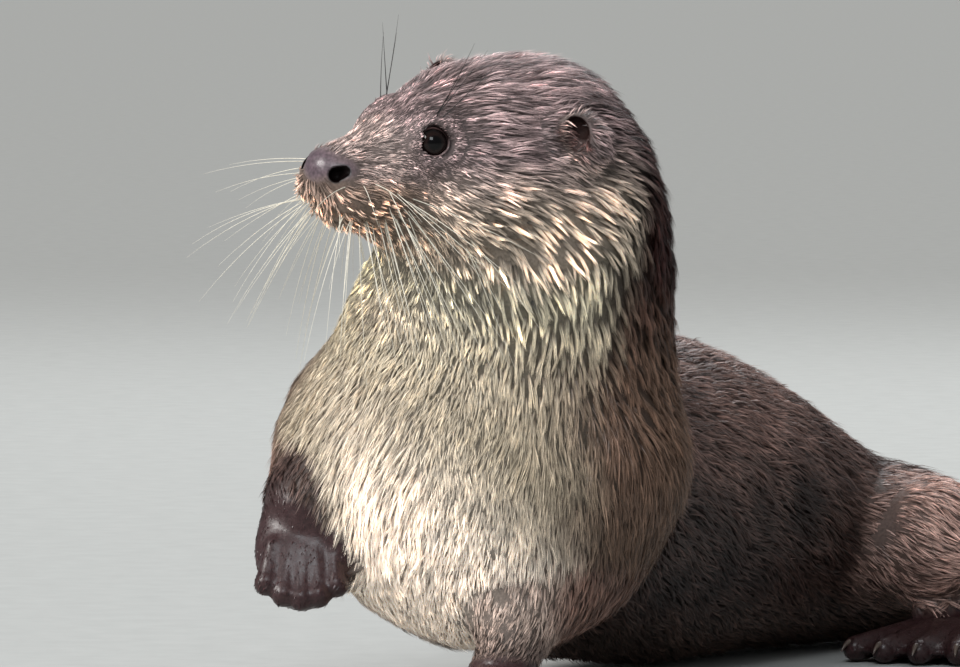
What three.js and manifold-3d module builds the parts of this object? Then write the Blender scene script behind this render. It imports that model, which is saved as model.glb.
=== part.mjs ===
// A Eurasian otter (Lutra lutra) at life size, in millimetres, +Z up.
//
// It rests on its belly and hind feet with the chest raised on the left forepaw, the right
// forepaw lifted and the head turned to its right. The body is one smooth distance field,
// summed from round and oval forms that follow the skeleton; each region is meshed from that
// field and parted from its neighbours by thin flat cuts.
//
// The field is laid out in the viewer's frame: +X runs to the viewer's right, +Y away from
// the viewer, and the floor is Z = 0. The group is centred over its footprint at the end.
import * as THREE from "three";
import { mergeVertices } from "three/addons/utils/BufferGeometryUtils.js";
import Module from "manifold-3d";

const wasm = await Module();
wasm.setup();

const point = (x, y, z) => new THREE.Vector3(x, y, z);
const { abs, cos, hypot, max, min, sin } = Math;
const rad = THREE.MathUtils.degToRad;

// ---------------------------------------------------------------- distance fields
// A field is a function (x, y, z) => signed distance in mm, negative inside.

/** Polynomial smooth minimum: joins two fields with a fillet about as wide as `fillet`. */
function blend(first, second, fillet) {
  const share = max(fillet - abs(first - second), 0) / fillet;
  return min(first, second) - share * share * fillet * 0.25;
}

const join = (fillet, ...fields) => (x, y, z) =>
  fields.reduce((nearest, field) => blend(nearest, field(x, y, z), fillet), 1e3);

/** `field` with `hollow` taken out of it, the rim rounded by `fillet`. */
const carve = (field, hollow, fillet) => (x, y, z) =>
  -blend(-field(x, y, z), hollow(x, y, z), fillet);

const overlap = (first, second) => (x, y, z) => max(first(x, y, z), second(x, y, z));

/** An ellipsoid with its axes along the frame's. */
const oval = (centre, rx, ry, rz) => (x, y, z) => {
  const dx = x - centre.x;
  const dy = y - centre.y;
  const dz = z - centre.z;
  const inRadii = hypot(dx / rx, dy / ry, dz / rz);
  const slope = hypot(dx / rx ** 2, dy / ry ** 2, dz / rz ** 2);
  return slope === 0 ? -min(rx, ry, rz) : (inRadii * (inRadii - 1)) / slope;
};

/** A round-ended cone between two points. */
const limb = (from, fromRadius, to, toRadius) => {
  const ax = to.x - from.x;
  const ay = to.y - from.y;
  const az = to.z - from.z;
  const lengthSquared = ax * ax + ay * ay + az * az;
  return (x, y, z) => {
    const dx = x - from.x;
    const dy = y - from.y;
    const dz = z - from.z;
    const along = THREE.MathUtils.clamp((dx * ax + dy * ay + dz * az) / lengthSquared, 0, 1);
    const away = hypot(dx - along * ax, dy - along * ay, dz - along * az);
    return away - fromRadius - along * (toRadius - fromRadius);
  };
};

/** A tapering sweep: stations of [point, radius] along a smooth curve. */
function sweep(stations, steps) {
  const curve = new THREE.CatmullRomCurve3(stations.map(([at]) => at));
  const radii = new THREE.CatmullRomCurve3(stations.map(([, radius]) => point(radius, 0, 0)));
  const links = [];
  for (let i = 0; i < steps; i++) {
    const [start, end] = [i / steps, (i + 1) / steps];
    links.push(
      limb(curve.getPoint(start), radii.getPoint(start).x, curve.getPoint(end), radii.getPoint(end).x),
    );
  }
  return (x, y, z) => links.reduce((nearest, link) => min(nearest, link(x, y, z)), 1e3);
}

/** A field drawn in the local frame of `placed`, a matrix without scale. */
const moved = (placed, field) => {
  const e = placed.clone().invert().elements;
  return (x, y, z) =>
    field(
      e[0] * x + e[4] * y + e[8] * z + e[12],
      e[1] * x + e[5] * y + e[9] * z + e[13],
      e[2] * x + e[6] * y + e[10] * z + e[14],
    );
};

/** A field squeezed by `share` along Y about the plane y = middle. */
const squeezed = (field, middle, share) => (x, y, z) =>
  field(x, middle + (y - middle) / share, z);

const mirrored = (field) => (x, y, z) => field(x, abs(y), z);

const placedAt = (at, turn = new THREE.Euler()) =>
  new THREE.Matrix4().makeRotationFromEuler(turn).setPosition(at);

// ---------------------------------------------------------------- head
// Drawn in its own frame: x forward from the ears' plane, y to the animal's left, z up.

const headPlace = placedAt(
  point(8, 5, 204),
  new THREE.Euler(rad(-14), rad(5), rad(220), "ZYX"),
);

const eyeRadius = 6.2;
const eyeSpot = point(48.7, 15.5, 15.9);
const gaze = point(0.45, 0.85, 0.3).normalize();
const earSpot = point(-1, 39, 19.5);
const noseSpot = point(84.5, 0, 5.5);

const nosePad = join(
  4,
  oval(noseSpot, 6.6, 9, 6.8),
  oval(noseSpot.clone().add(point(-6, 0, 2)), 8, 8.2, 5.4),
  mirrored(oval(noseSpot.clone().add(point(-3.4, 8.4, -1.2)), 5.2, 4.6, 5.2)),
);
const nostril = mirrored(
  limb(
    noseSpot.clone().add(point(2.2, 8.4, 0.4)), 2.9,
    noseSpot.clone().add(point(0.8, 10.8, 2.4)), 2.1,
  ),
);

const muzzle = join(
  12,
  limb(point(45, 0, 10), 18, point(80, 0, 4.5), 9.8),
  limb(point(40, 0, -13), 14, point(76, 0, -11), 6.5),
  mirrored(oval(point(74.5, 9.5, -4.5), 14.5, 11.5, 10)),
);
const skull = join(
  16,
  oval(point(3, 0, 4), 46, 40.5, 29.5),
  mirrored(oval(point(20, 21, -10), 32, 22, 23)),
  oval(point(17, 0, 10), 31, 30, 26),
  mirrored(oval(point(41, 11.8, 11.5), 13, 7.5, 5.6)),
  oval(point(30, 0, -16), 30, 22, 15),
);
const eyeSocket = mirrored(oval(eyeSpot.clone().addScaledVector(gaze, 9), 9, 4, 6.5));
const headForm = carve(carve(join(14, skull, muzzle), eyeSocket, 4), nostril, 1.5);

/** The outer ear: a small round cup that opens forward and outward. */
const earPlace = (sign) =>
  headPlace.clone().multiply(
    placedAt(
      point(earSpot.x, sign * earSpot.y, earSpot.z),
      new THREE.Euler(rad(-28 * sign), rad(-12), rad(28 * sign), "ZYX"),
    ),
  );
const earPlaces = { left: earPlace(1), right: earPlace(-1) };
const earCup = carve(
  oval(point(0, 2.2, 0), 6, 11.2, 9.2),
  oval(point(7, -0.3, 0.8), 5.6, 8, 6.6),
  1.5,
);

// ---------------------------------------------------------------- neck and trunk

const neck = squeezed(
  sweep(
    [
      [point(3, 24, 90), 72],
      [point(4, 20, 104), 71],
      [point(8, 16, 120), 68],
      [point(12, 13, 136), 63],
      [point(16.5, 10, 153), 58.5],
      [point(21, 8, 170), 53.5],
      [point(21.5, 10, 187), 49],
      [point(19, 12, 200), 43.5],
    ],
    24,
  ),
  14,
  0.86,
);
const chest = moved(
  placedAt(point(2, 24, 89), new THREE.Euler(0, 0, rad(-24))),
  oval(point(0, 0, 0), 67, 72, 61),
);
const spine = sweep(
  [
    [point(4, 30, 90), 50],
    [point(14, 80, 80), 61],
    [point(30, 135, 73), 67],
    [point(56, 198, 68), 69.5],
    [point(95, 258, 58), 59.5],
    [point(142, 312, 41), 42.5],
    [point(184, 350, 28.5), 30],
    [point(216, 374, 23.5), 25],
    [point(260, 391, 19.5), 21],
    [point(315, 392, 16), 17.5],
    [point(372, 370, 13.5), 15],
    [point(422, 326, 9.5), 11],
    [point(460, 268, 6.5), 8],
    [point(478, 208, 5), 6.5],
  ],
  60,
);

// ---------------------------------------------------------------- legs

/** Toes side by side from a palm, each with its claw; `spread` is the fan's half angle. */
function toes(count, { knuckle, length, radius, spread, width, droop, claw }) {
  const digits = [];
  for (let i = 0; i < count; i++) {
    const across = (2 * i) / (count - 1) - 1;
    const turn = across * spread;
    const reach = length * (1 - 0.13 * abs(across + 0.15) ** 1.6);
    const root = point(knuckle, across * width, 0);
    const tip = point(knuckle + reach * cos(turn), across * width + reach * sin(turn), droop);
    const nail = tip.clone().add(point(claw * cos(turn), claw * sin(turn), -claw * 0.2));
    digits.push(limb(root, radius * 1.05, tip, radius * 0.92));
    digits.push(limb(tip.clone().add(point(0, 0, radius * 0.25)), radius * 0.65, nail, 2));
  }
  return digits;
}

/** A frame at `from` whose x axis points to `to` and whose z axis leans towards `up`. */
function aimed(from, to, up) {
  const forward = to.clone().sub(from).normalize();
  const side = up.clone().cross(forward).normalize();
  const top = forward.clone().cross(side);
  return new THREE.Matrix4().makeBasis(forward, side, top).setPosition(from);
}

const forepawForm = join(
  5,
  oval(point(14, 0, 0), 25, 18.5, 11),
  ...toes(5, { knuckle: 26, length: 17, radius: 5.6, spread: 0.36, width: 12.5, droop: -3, claw: 6 }),
);

/** A forepaw hanging limp: each toe bends down at its knuckle and back under the palm. */
function curledToes() {
  const digits = [];
  for (const across of [-1, -0.5, 0, 0.5, 1]) {
    const root = point(14, 9.5 * across, 3);
    const knuckle = point(47 - 8 * across ** 2, 16 * across, 2);
    const tip = point(35 - 6 * across ** 2, 13 * across, -11);
    digits.push(limb(root, 5, knuckle, 4.9), limb(knuckle, 4.9, tip, 4.1));
    digits.push(limb(tip, 3, tip.clone().add(point(-6, 0, 0)), 2));
  }
  return digits;
}
const limpPawForm = join(2.2, oval(point(10, 0, -1), 20, 16.5, 9.5), ...curledToes());
const hindfootForm = join(
  6,
  limb(point(0, 0, 4), 13, point(45, 0, -1), 12),
  oval(point(60, 0, -2), 26, 21, 9),
  oval(point(82, 0, -4), 20, 26, 5),
  ...toes(5, { knuckle: 66, length: 38, radius: 6.2, spread: 0.4, width: 16, droop: -4, claw: 7 }),
);

const rightFore = {
  shoulder: point(-49, 36, 100),
  elbow: point(-60, 50, 78),
  wrist: point(-65, 2, 80),
};
const leftFore = {
  shoulder: point(50, -6, 92),
  elbow: point(33, 8, 58),
  wrist: point(10, -34, 25),
};
const rightPawPlace = aimed(rightFore.wrist, point(-66, -24, 38), point(0, -1, 0.35));
const leftPawPlace = aimed(leftFore.wrist.clone().setZ(9.5), point(-4, -76, 8.5), point(0, 0, 1));

const foreLimb = ({ shoulder, elbow, wrist }) =>
  join(12, limb(shoulder, 31, elbow, 22), limb(elbow, 21, wrist, 16));

/** The hips' own frame: x to the animal's front, y to its left. */
const hipsPlace = placedAt(point(155, 324, 0), new THREE.Euler(0, 0, rad(230)));
const hindPoint = (side, forward, outward, height) =>
  point(forward, side * outward, height).applyMatrix4(hipsPlace);

function hindLimb(side) {
  const hip = hindPoint(side, 4, 26, 42);
  const knee = hindPoint(side, 28, 56, 44);
  const heel = hindPoint(side, -20, 60, 20);
  const toe = hindPoint(side, 72, 88, 8);
  const footPlace = aimed(heel.clone().setZ(10.5), toe.clone().setZ(9.5), point(0, 0, 1));
  return {
    thigh: join(16, limb(hip, 34, knee, 27), limb(knee, 25, heel, 14)),
    foot: moved(footPlace, hindfootForm),
    footPlace,
  };
}
const hind = { left: hindLimb(1), right: hindLimb(-1) };

// ---------------------------------------------------------------- the whole animal

const torso = join(
  14,
  spine,
  join(18, chest, neck),
  hind.left.thigh,
  hind.right.thigh,
);
const forequarters = join(12, torso, join(12, foreLimb(rightFore), foreLimb(leftFore)));
const head = moved(headPlace, headForm);
const paws = {
  forepaw_right: moved(rightPawPlace, limpPawForm),
  forepaw_left: moved(leftPawPlace, forepawForm),
  hindfoot_left: hind.left.foot,
  hindfoot_right: hind.right.foot,
};
const animal = join(
  6,
  join(13, forequarters, head),
  ...Object.values(paws),
);

// ---------------------------------------------------------------- meshing

/**
 * A closed mesh of `field` inside `box`, on a grid of `cell` mm, as a manifold solid. Where two
 * sheets of it would share an edge, the grid is shifted and, after a few tries, made finer.
 */
function mesh(field, box, cell, tries = 0) {
  const middle = box.getCenter(point(0, 0, 0));
  const half = box.getSize(point(0, 0, 0)).multiplyScalar(0.5);
  const bounded = overlap(field, (x, y, z) =>
    max(abs(x - middle.x) - half.x, abs(y - middle.y) - half.y, abs(z - middle.z) - half.z),
  );
  const start = box.min.clone().subScalar((1.1 + 0.21 * (tries % 4)) * cell);
  const counts = box.getSize(point(0, 0, 0)).toArray().map((side) => Math.ceil(side / cell) + 3);
  const [nx, ny, nz] = counts.map((count) => count + 1);
  const at = (i, j, k) => i + nx * (j + ny * k);
  const values = new Float32Array(nx * ny * nz);
  for (let k = 0; k < nz; k++)
    for (let j = 0; j < ny; j++)
      for (let i = 0; i < nx; i++)
        values[at(i, j, k)] = bounded(start.x + i * cell, start.y + j * cell, start.z + k * cell);

  // one vertex in each cell that the surface crosses, at the mean of its edge crossings
  const vertexOf = new Int32Array(values.length).fill(-1);
  const positions = [];
  for (let k = 0; k < nz - 1; k++)
    for (let j = 0; j < ny - 1; j++)
      for (let i = 0; i < nx - 1; i++) {
        const sum = [0, 0, 0];
        let crossings = 0;
        for (let axis = 0; axis < 3; axis++)
          for (let edge = 0; edge < 4; edge++) {
            const low = [0, 0, 0];
            low[(axis + 1) % 3] = edge & 1;
            low[(axis + 2) % 3] = edge >> 1;
            const high = low.map((value, n) => (n === axis ? 1 : value));
            const a = values[at(i + low[0], j + low[1], k + low[2])];
            const b = values[at(i + high[0], j + high[1], k + high[2])];
            if (a < 0 === b < 0) continue;
            const share = a / (a - b);
            for (let n = 0; n < 3; n++) sum[n] += low[n] + (n === axis ? share : 0);
            crossings++;
          }
        if (!crossings) continue;
        vertexOf[at(i, j, k)] = positions.length / 3;
        positions.push(
          ...settle(bounded, cell, [
            start.x + (i + sum[0] / crossings) * cell,
            start.y + (j + sum[1] / crossings) * cell,
            start.z + (k + sum[2] / crossings) * cell,
          ]),
        );
      }

  // one quad round each grid edge that the surface crosses
  const triangles = [];
  const apart = (a, b) =>
    hypot(...[0, 1, 2].map((n) => positions[3 * a + n] - positions[3 * b + n]));
  for (let k = 1; k < nz - 1; k++)
    for (let j = 1; j < ny - 1; j++)
      for (let i = 1; i < nx - 1; i++)
        for (let axis = 0; axis < 3; axis++) {
          const step = [0, 0, 0];
          step[axis] = 1;
          const inside = values[at(i, j, k)] < 0;
          if (inside === values[at(i + step[0], j + step[1], k + step[2])] < 0) continue;
          const u = [0, 0, 0];
          const v = [0, 0, 0];
          u[(axis + 1) % 3] = 1;
          v[(axis + 2) % 3] = 1;
          const ring = [
            vertexOf[at(i - u[0] - v[0], j - u[1] - v[1], k - u[2] - v[2])],
            vertexOf[at(i - v[0], j - v[1], k - v[2])],
            vertexOf[at(i, j, k)],
            vertexOf[at(i - u[0], j - u[1], k - u[2])],
          ];
          if (!inside) ring.reverse();
          const [a, b, c, d] = ring;
          if (apart(a, c) < apart(b, d)) triangles.push(a, b, c, a, c, d);
          else triangles.push(a, b, d, b, c, d);
        }
  if (sharesAnEdge(triangles)) return mesh(field, box, tries % 4 === 3 ? 0.95 * cell : cell, tries + 1);
  return new wasm.Manifold(
    new wasm.Mesh({
      numProp: 3,
      vertProperties: new Float32Array(positions),
      triVerts: new Uint32Array(triangles),
    }),
  );
}

/** Whether two sheets of the surface meet along one edge, as they do in an ambiguous cell. */
function sharesAnEdge(triangles) {
  const seen = new Set();
  for (let i = 0; i < triangles.length; i += 3)
    for (let n = 0; n < 3; n++) seen.add(triangles[i + n] * 1e6 + triangles[i + ((n + 1) % 3)]);
  return seen.size < triangles.length;
}

/** Slides a point along the field's slope on to the surface, by at most half a cell. */
function settle(field, cell, [x, y, z]) {
  const probe = 0.05 * cell;
  let [px, py, pz] = [x, y, z];
  for (let pass = 0; pass < 3; pass++) {
    const value = field(px, py, pz);
    const gx = (field(px + probe, py, pz) - value) / probe;
    const gy = (field(px, py + probe, pz) - value) / probe;
    const gz = (field(px, py, pz + probe) - value) / probe;
    const steep = gx * gx + gy * gy + gz * gz;
    if (steep < 0.05) break;
    px -= (value * gx) / steep;
    py -= (value * gy) / steep;
    pz -= (value * gz) / steep;
  }
  const keep = (from, to) => THREE.MathUtils.clamp(to, from - 0.45 * cell, from + 0.45 * cell);
  return [keep(x, px), keep(y, py), keep(z, pz)];
}

// ---------------------------------------------------------------- solids and cuts

const farAway = 1200;
const cutGap = 0.4;
const upward = point(0, 0, 1);

/** A closed three.js geometry, placed by `matrix`, as a manifold solid. */
function solid(geometry, matrix = new THREE.Matrix4()) {
  const plain = geometry.clone().applyMatrix4(matrix);
  plain.deleteAttribute("normal");
  plain.deleteAttribute("uv");
  const { index, attributes } = mergeVertices(plain, 1e-4);
  return new wasm.Manifold(
    new wasm.Mesh({
      numProp: 3,
      vertProperties: attributes.position.array,
      triVerts: new Uint32Array(index.array),
    }),
  );
}

/** All space on the side of a plane that `direction` points to, less half of a cut's gap. */
function beyond([at, direction], sign = 1) {
  const ahead = direction.clone().multiplyScalar(sign);
  const steep = abs(ahead.z) > 0.9 * ahead.length();
  const place = aimed(at, at.clone().add(ahead), steep ? point(1, 0, 0) : upward);
  const space = new THREE.BoxGeometry(farAway, farAway, farAway);
  return solid(space.translate(farAway / 2 + cutGap / 2, 0, 0), place);
}
const behind = (cut) => beyond(cut);
const ahead = (cut) => beyond(cut, -1);

/** An oriented block: `place` is its middle, `grow` widens it on every side. */
const block = ({ place, size }, grow = 0) =>
  solid(new THREE.BoxGeometry(...size.map((side) => side + 2 * grow)), place);

/** A block turned and placed in a limb's own frame. */
const blockIn = (frame, middle, size) => ({
  place: frame.clone().multiply(placedAt(middle)),
  size,
});

/** An upright block between two corners. */
const upright = (low, high) => ({
  place: placedAt(low.clone().add(high).multiplyScalar(0.5)),
  size: high.clone().sub(low).toArray(),
});

// the cuts between the lengths of the body: a point on each, and the way towards the tail
const cuts = {
  nape: [point(22, 0, 190), point(0.47, 0.06, -0.88)],
  collar: [point(5, 0, 122), point(0.18, 0.34, -0.92)],
  ribs: [point(14, 92, 76), point(0.22, 1, 0)],
  loin: [point(72, 224, 66), point(0.52, 0.85, 0)],
  rump: [point(190, 355, 38), point(0.8, 0.6, 0)],
  midtail: [point(325, 391, 18), point(1, -0.15, 0)],
};
const aboveFloor = beyond([point(0, 0, -cutGap / 2), upward]);

// each length of the body: a block that holds it, its cuts, its mesh cell and its colour
const bodyLengths = {
  neck: {
    space: upright(point(-90, -80, 80), point(110, 100, 250)),
    sides: [behind(cuts.nape), ahead(cuts.collar)],
    cell: 18,
    colour: "paleCoat",
  },
  chest: {
    space: upright(point(-110, -90, 0), point(110, 130, 170)),
    sides: [behind(cuts.collar), ahead(cuts.ribs)],
    cell: 19,
    colour: "paleCoat",
  },
  trunk: {
    space: upright(point(-80, 60, 0), point(180, 300, 170)),
    sides: [behind(cuts.ribs), ahead(cuts.loin)],
    cell: 20,
    colour: "coat",
  },
  hips: {
    space: upright(point(20, 170, 0), point(260, 430, 150)),
    sides: [behind(cuts.loin), ahead(cuts.rump)],
    cell: 20,
    colour: "coat",
  },
  tail_base: {
    space: upright(point(150, 300, 0), point(350, 440, 90)),
    sides: [behind(cuts.rump), ahead(cuts.midtail)],
    cell: 13.5,
    colour: "coat",
  },
  tail_tip: {
    space: upright(point(300, 180, 0), point(500, 440, 60)),
    sides: [behind(cuts.midtail)],
    cell: 10,
    colour: "coat",
  },
};

// a leg or a paw is what of the animal lies in its block; a paw's block also cuts its leg
const turned = (at, degrees) => placedAt(at, new THREE.Euler(0, 0, rad(degrees)));
const legBlocks = {
  foreleg_right: { place: turned(point(-86, 20, 92), 6), size: [80, 110, 80] },
  foreleg_left: { place: turned(point(36, -16, 34), 20), size: [74, 70, 44] },
  hindleg_left: blockIn(hipsPlace, point(10, 92, 50), [120, 86, 120]),
  hindleg_right: blockIn(hipsPlace, point(10, -92, 50), [120, 86, 120]),
};
const forepawBlocks = {
  forepaw_right: blockIn(rightPawPlace, point(36, -20, 0), [66, 88, 60]),
  forepaw_left: blockIn(leftPawPlace, point(38, 0, 2), [84, 70, 40]),
};
const hindfootBlocks = {
  hindfoot_left: blockIn(hind.left.footPlace, point(83, 0, 0), [110, 90, 60]),
  hindfoot_right: blockIn(hind.right.footPlace, point(83, 0, 0), [110, 90, 60]),
};
const spaces = (blocks) => Object.values(blocks).map((each) => block(each, cutGap));
const pawSpaces = spaces({ ...forepawBlocks, ...hindfootBlocks });
const limbSpaces = [...spaces(legBlocks), ...pawSpaces];

const wholeBox = new THREE.Box3(point(-130, -110, -8), point(500, 440, 270));

/** What of the animal lies in the solid `keep`, meshed at `cell`, with `without` cut away. */
function region(keep, cell, without = []) {
  const { min: low, max: high } = keep.boundingBox();
  const around = new THREE.Box3(point(...low), point(...high)).expandByScalar(1.5 * cell);
  const shape = mesh(animal, around.intersect(wholeBox), cell).intersect(keep).intersect(aboveFloor);
  return without.reduce((left, other) => left.subtract(other), shape);
}

// ---------------------------------------------------------------- assembly

const colours = {
  coat: new THREE.MeshStandardMaterial({ color: 0x6e5c50, roughness: 0.9 }),
  paleCoat: new THREE.MeshStandardMaterial({ color: 0xb6a68c, roughness: 0.9 }),
  paw: new THREE.MeshStandardMaterial({ color: 0x3a302e, roughness: 0.6 }),
  nose: new THREE.MeshStandardMaterial({ color: 0x4a4148, roughness: 0.45 }),
  eye: new THREE.MeshStandardMaterial({ color: 0x120c0a, roughness: 0.08 }),
};

const otter = new THREE.Group();
const sliver = 0.3;

/** Adds the largest body of `shape`, cleared of slivers, to the group as the mesh `name`. */
function add(name, shape, colour) {
  const body = shape
    .simplify(sliver)
    .decompose()
    .reduce((best, next) => (next.volume() > best.volume() ? next : best));
  const { vertProperties, triVerts } = body.getMesh();
  const geometry = new THREE.BufferGeometry();
  geometry.setAttribute("position", new THREE.BufferAttribute(vertProperties, 3));
  geometry.setIndex(new THREE.BufferAttribute(triVerts, 1));
  geometry.computeVertexNormals();
  const piece = new THREE.Mesh(geometry, colours[colour]);
  piece.name = name;
  otter.add(piece);
}

function addBody() {
  for (const [name, { space, sides, cell, colour }] of Object.entries(bodyLengths)) {
    const keep = sides.reduce((kept, side) => kept.intersect(side), block(space));
    add(name, region(keep, cell, limbSpaces), colour);
  }
}

function addLimbs() {
  for (const [name, space] of Object.entries(legBlocks))
    add(name, region(block(space), 13, pawSpaces), "coat");
  for (const [name, space] of Object.entries(forepawBlocks))
    add(name, region(block(space), 7.5), "paw");
  for (const [name, space] of Object.entries(hindfootBlocks))
    add(name, region(block(space), 7.7), "paw");
}

/** A point of the left side of the head, or its mirror on the right, in the group's frame. */
const onSide = (spot, side) =>
  point(spot.x, side === "left" ? spot.y : -spot.y, spot.z).applyMatrix4(headPlace);

const sideNames = ["left", "right"];
const eyeGap = 0.5;

/** The room an eye takes from the head: its ball, and a flared opening in front of it. */
function eyeRoom(side) {
  const ball = new THREE.SphereGeometry(eyeRadius + eyeGap, 14, 8);
  const opening = new THREE.CylinderGeometry(7, 4.6, 8, 14).rotateZ(-Math.PI / 2);
  const at = onSide(eyeSpot, side);
  const ahead = onSide(eyeSpot.clone().add(gaze), side);
  return solid(ball, placedAt(at)).add(
    solid(opening.translate(6.5, 0, 0), aimed(at, ahead, upward)),
  );
}

/** The head less the nose pad, as a solid that the ears are cut by. */
function addHead() {
  const keep = block(upright(point(-110, -110, 100), point(110, 80, 260)));
  const noseBlock = {
    place: headPlace.clone().multiply(placedAt(point(93, 0, 8.5), new THREE.Euler(0, rad(-14), 0))),
    size: [26, 40, 24],
  };
  const rooms = [...sideNames.map(eyeRoom), block(noseBlock, cutGap)];
  const headSolid = region(keep.intersect(ahead(cuts.nape)), 9.1, rooms);
  add("head", headSolid, "coat");
  add("nose", region(block(noseBlock), 4.2), "nose");
  return headSolid;
}

function addEyes() {
  for (const side of sideNames) {
    const ball = new THREE.SphereGeometry(eyeRadius, 14, 8);
    add(`eye_${side}`, solid(ball, placedAt(onSide(eyeSpot, side))), "eye");
  }
}

/** Each ear is a cup that stands off the head by the cuts' gap. */
function addEars(headSolid) {
  const around = point(40, 40, 40);
  for (const side of sideNames) {
    const sign = side === "left" ? 1 : -1;
    const cup = (x, y, z) => earCup(x, sign * y, z);
    const space = new THREE.Box3().setFromCenterAndSize(onSide(earSpot, side), around);
    const outward = point(0, sign, 0).transformDirection(headPlace).multiplyScalar(cutGap);
    const room = headSolid.add(headSolid.translate(outward.toArray()));
    add(`ear_${side}`, mesh(moved(earPlaces[side], cup), space, 3.5).subtract(room), "coat");
  }
}

addBody();
addLimbs();
addEyes();
addEars(addHead());

const footprint = new THREE.Box3().setFromObject(otter);
const centre = footprint.getCenter(point(0, 0, 0));
otter.position.set(-centre.x, -centre.y, -footprint.min.z);

export default otter;
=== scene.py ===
"""A Eurasian otter at life size, resting with its chest raised and its head turned.

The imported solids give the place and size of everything. One seamless skin replaces the solids
of flesh. It is drawn onto a smooth distance field that follows the same skeleton, lies under
them by the depth of the coat, and adds the lids, nostrils, lips and folds of the face. The coat
is solid mesh: thin blades gathered into pointed locks that follow the lie of the hair.

Lengths inside the forms are in millimetres, in the layout frame of the skeleton; Workshop.place
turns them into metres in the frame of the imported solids.
"""

import logging
import math
from collections.abc import Callable, Iterator, Sequence
from contextlib import contextmanager
from dataclasses import astuple, dataclass, fields
from enum import Enum

import bmesh
import bpy
import numpy as np
from mathutils import Euler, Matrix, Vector


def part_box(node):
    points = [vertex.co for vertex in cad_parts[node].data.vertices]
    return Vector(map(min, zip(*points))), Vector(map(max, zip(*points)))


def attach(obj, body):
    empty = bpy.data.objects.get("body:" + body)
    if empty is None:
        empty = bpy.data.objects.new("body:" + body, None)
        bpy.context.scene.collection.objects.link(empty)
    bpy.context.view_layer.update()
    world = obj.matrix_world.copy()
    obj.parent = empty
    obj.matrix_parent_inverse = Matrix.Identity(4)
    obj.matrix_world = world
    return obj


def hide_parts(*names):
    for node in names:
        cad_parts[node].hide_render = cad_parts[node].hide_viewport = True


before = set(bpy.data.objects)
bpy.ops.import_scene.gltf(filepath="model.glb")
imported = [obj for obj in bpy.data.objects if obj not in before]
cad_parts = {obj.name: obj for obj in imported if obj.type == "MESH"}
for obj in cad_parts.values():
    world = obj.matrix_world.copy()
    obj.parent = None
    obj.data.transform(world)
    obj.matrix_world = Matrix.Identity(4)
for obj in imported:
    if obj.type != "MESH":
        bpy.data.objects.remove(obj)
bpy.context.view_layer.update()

log = logging.getLogger("otter")
logging.basicConfig(level=logging.INFO, format="%(name)s: %(message)s")

Array = np.ndarray
Field = Callable[[Array], Array]
Triple = tuple[float, float, float]

MILLIMETRE = 0.001
BODY = "root"
SIDES = {"left": 1, "right": -1}
MAP = "OFBake"
PROBE = 0.3

# ------------------------------------------------------------------ small mathematics


def unit(v: Array) -> Array:
    """Each row of v made one long."""
    return v / np.maximum(np.linalg.norm(v, axis=-1, keepdims=True), 1e-9)


def ramp(x: Array, low: float, high: float) -> Array:
    """A smooth step from 0 at low to 1 at high: t squared times (3 - 2t)."""
    t = np.clip((x - low) / (high - low), 0.0, 1.0)
    return t * t * (3 - 2 * t)


def mix(a: Array, b: Array, share: Array) -> Array:
    """Rows of a moved towards b by share."""
    return a + (b - a) * share[:, None]


def ripple(p: Array, scale: float, seed: int) -> Array:
    """A soft random pattern in -1..1: the mean of six sine waves about scale mm long.

    Args:
        p: Points, (n, 3).
        scale: The waves' length, in mm.
        seed: Which pattern.

    Returns:
        The pattern, (n,).
    """
    rng = np.random.default_rng(seed)
    waves = unit(rng.normal(size=(6, 3))) * rng.uniform(0.7, 1.4, (6, 1)) * 2 * np.pi / scale
    return np.sin(p @ waves.T + rng.uniform(0, 6.28, 6)).sum(1) / 3.2


def linear(colour: Sequence[float]) -> Array:
    """An 8-bit display colour as linear light."""
    c = np.asarray(colour, float) / 255
    return np.where(c <= 0.04045, c / 12.92, ((c + 0.055) / 1.055) ** 2.4)


def on_left(q: Array) -> Array:
    """Points carried over to the side where y is positive."""
    return np.stack([q[:, 0], np.abs(q[:, 1]), q[:, 2]], 1)


# ------------------------------------------------------------------ distance fields
# Each is called with points (n, 3) in mm and gives their signed distance, negative inside.


@dataclass(frozen=True)
class Oval:
    """An ellipsoid along the axes of its frame: k(k - 1) over the slope of k, k in radii."""

    centre: Triple
    radii: Triple

    def __call__(self, p: Array) -> Array:
        """Distance of each point.

        Args:
            p: Points, (n, 3), in mm.

        Returns:
            The distances, (n,).
        """
        q = (p - np.array(self.centre)) / np.array(self.radii)
        k = np.linalg.norm(q, axis=1)
        return k * (k - 1) / np.maximum(np.linalg.norm(q / np.array(self.radii), axis=1), 1e-9)


@dataclass(frozen=True)
class Limb:
    """A round-ended cone: distance to the nearest point of a segment less the radius there."""

    start: Sequence[float]
    start_radius: float
    end: Sequence[float]
    end_radius: float

    def __call__(self, p: Array) -> Array:
        """Distance of each point.

        Args:
            p: Points, (n, 3), in mm.

        Returns:
            The distances, (n,).
        """
        a, b = np.array(self.start, float), np.array(self.end, float)
        along = np.clip((p - a) @ (b - a) / ((b - a) @ (b - a)), 0, 1)
        away = np.linalg.norm(p - a - along[:, None] * (b - a), axis=1)
        return away - self.start_radius - along * (self.end_radius - self.start_radius)


@dataclass(frozen=True)
class Joined:
    """A smooth minimum of fields: each pair is filled by share squared times a quarter fillet."""

    fillet: float
    parts: tuple[Field, ...]

    def __call__(self, p: Array) -> Array:
        """Distance of each point.

        Args:
            p: Points, (n, 3), in mm.

        Returns:
            The distances, (n,).
        """
        nearest = np.full(len(p), 1e3)
        for part in self.parts:
            nearest = blended(nearest, part(p), self.fillet)
        return nearest


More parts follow.
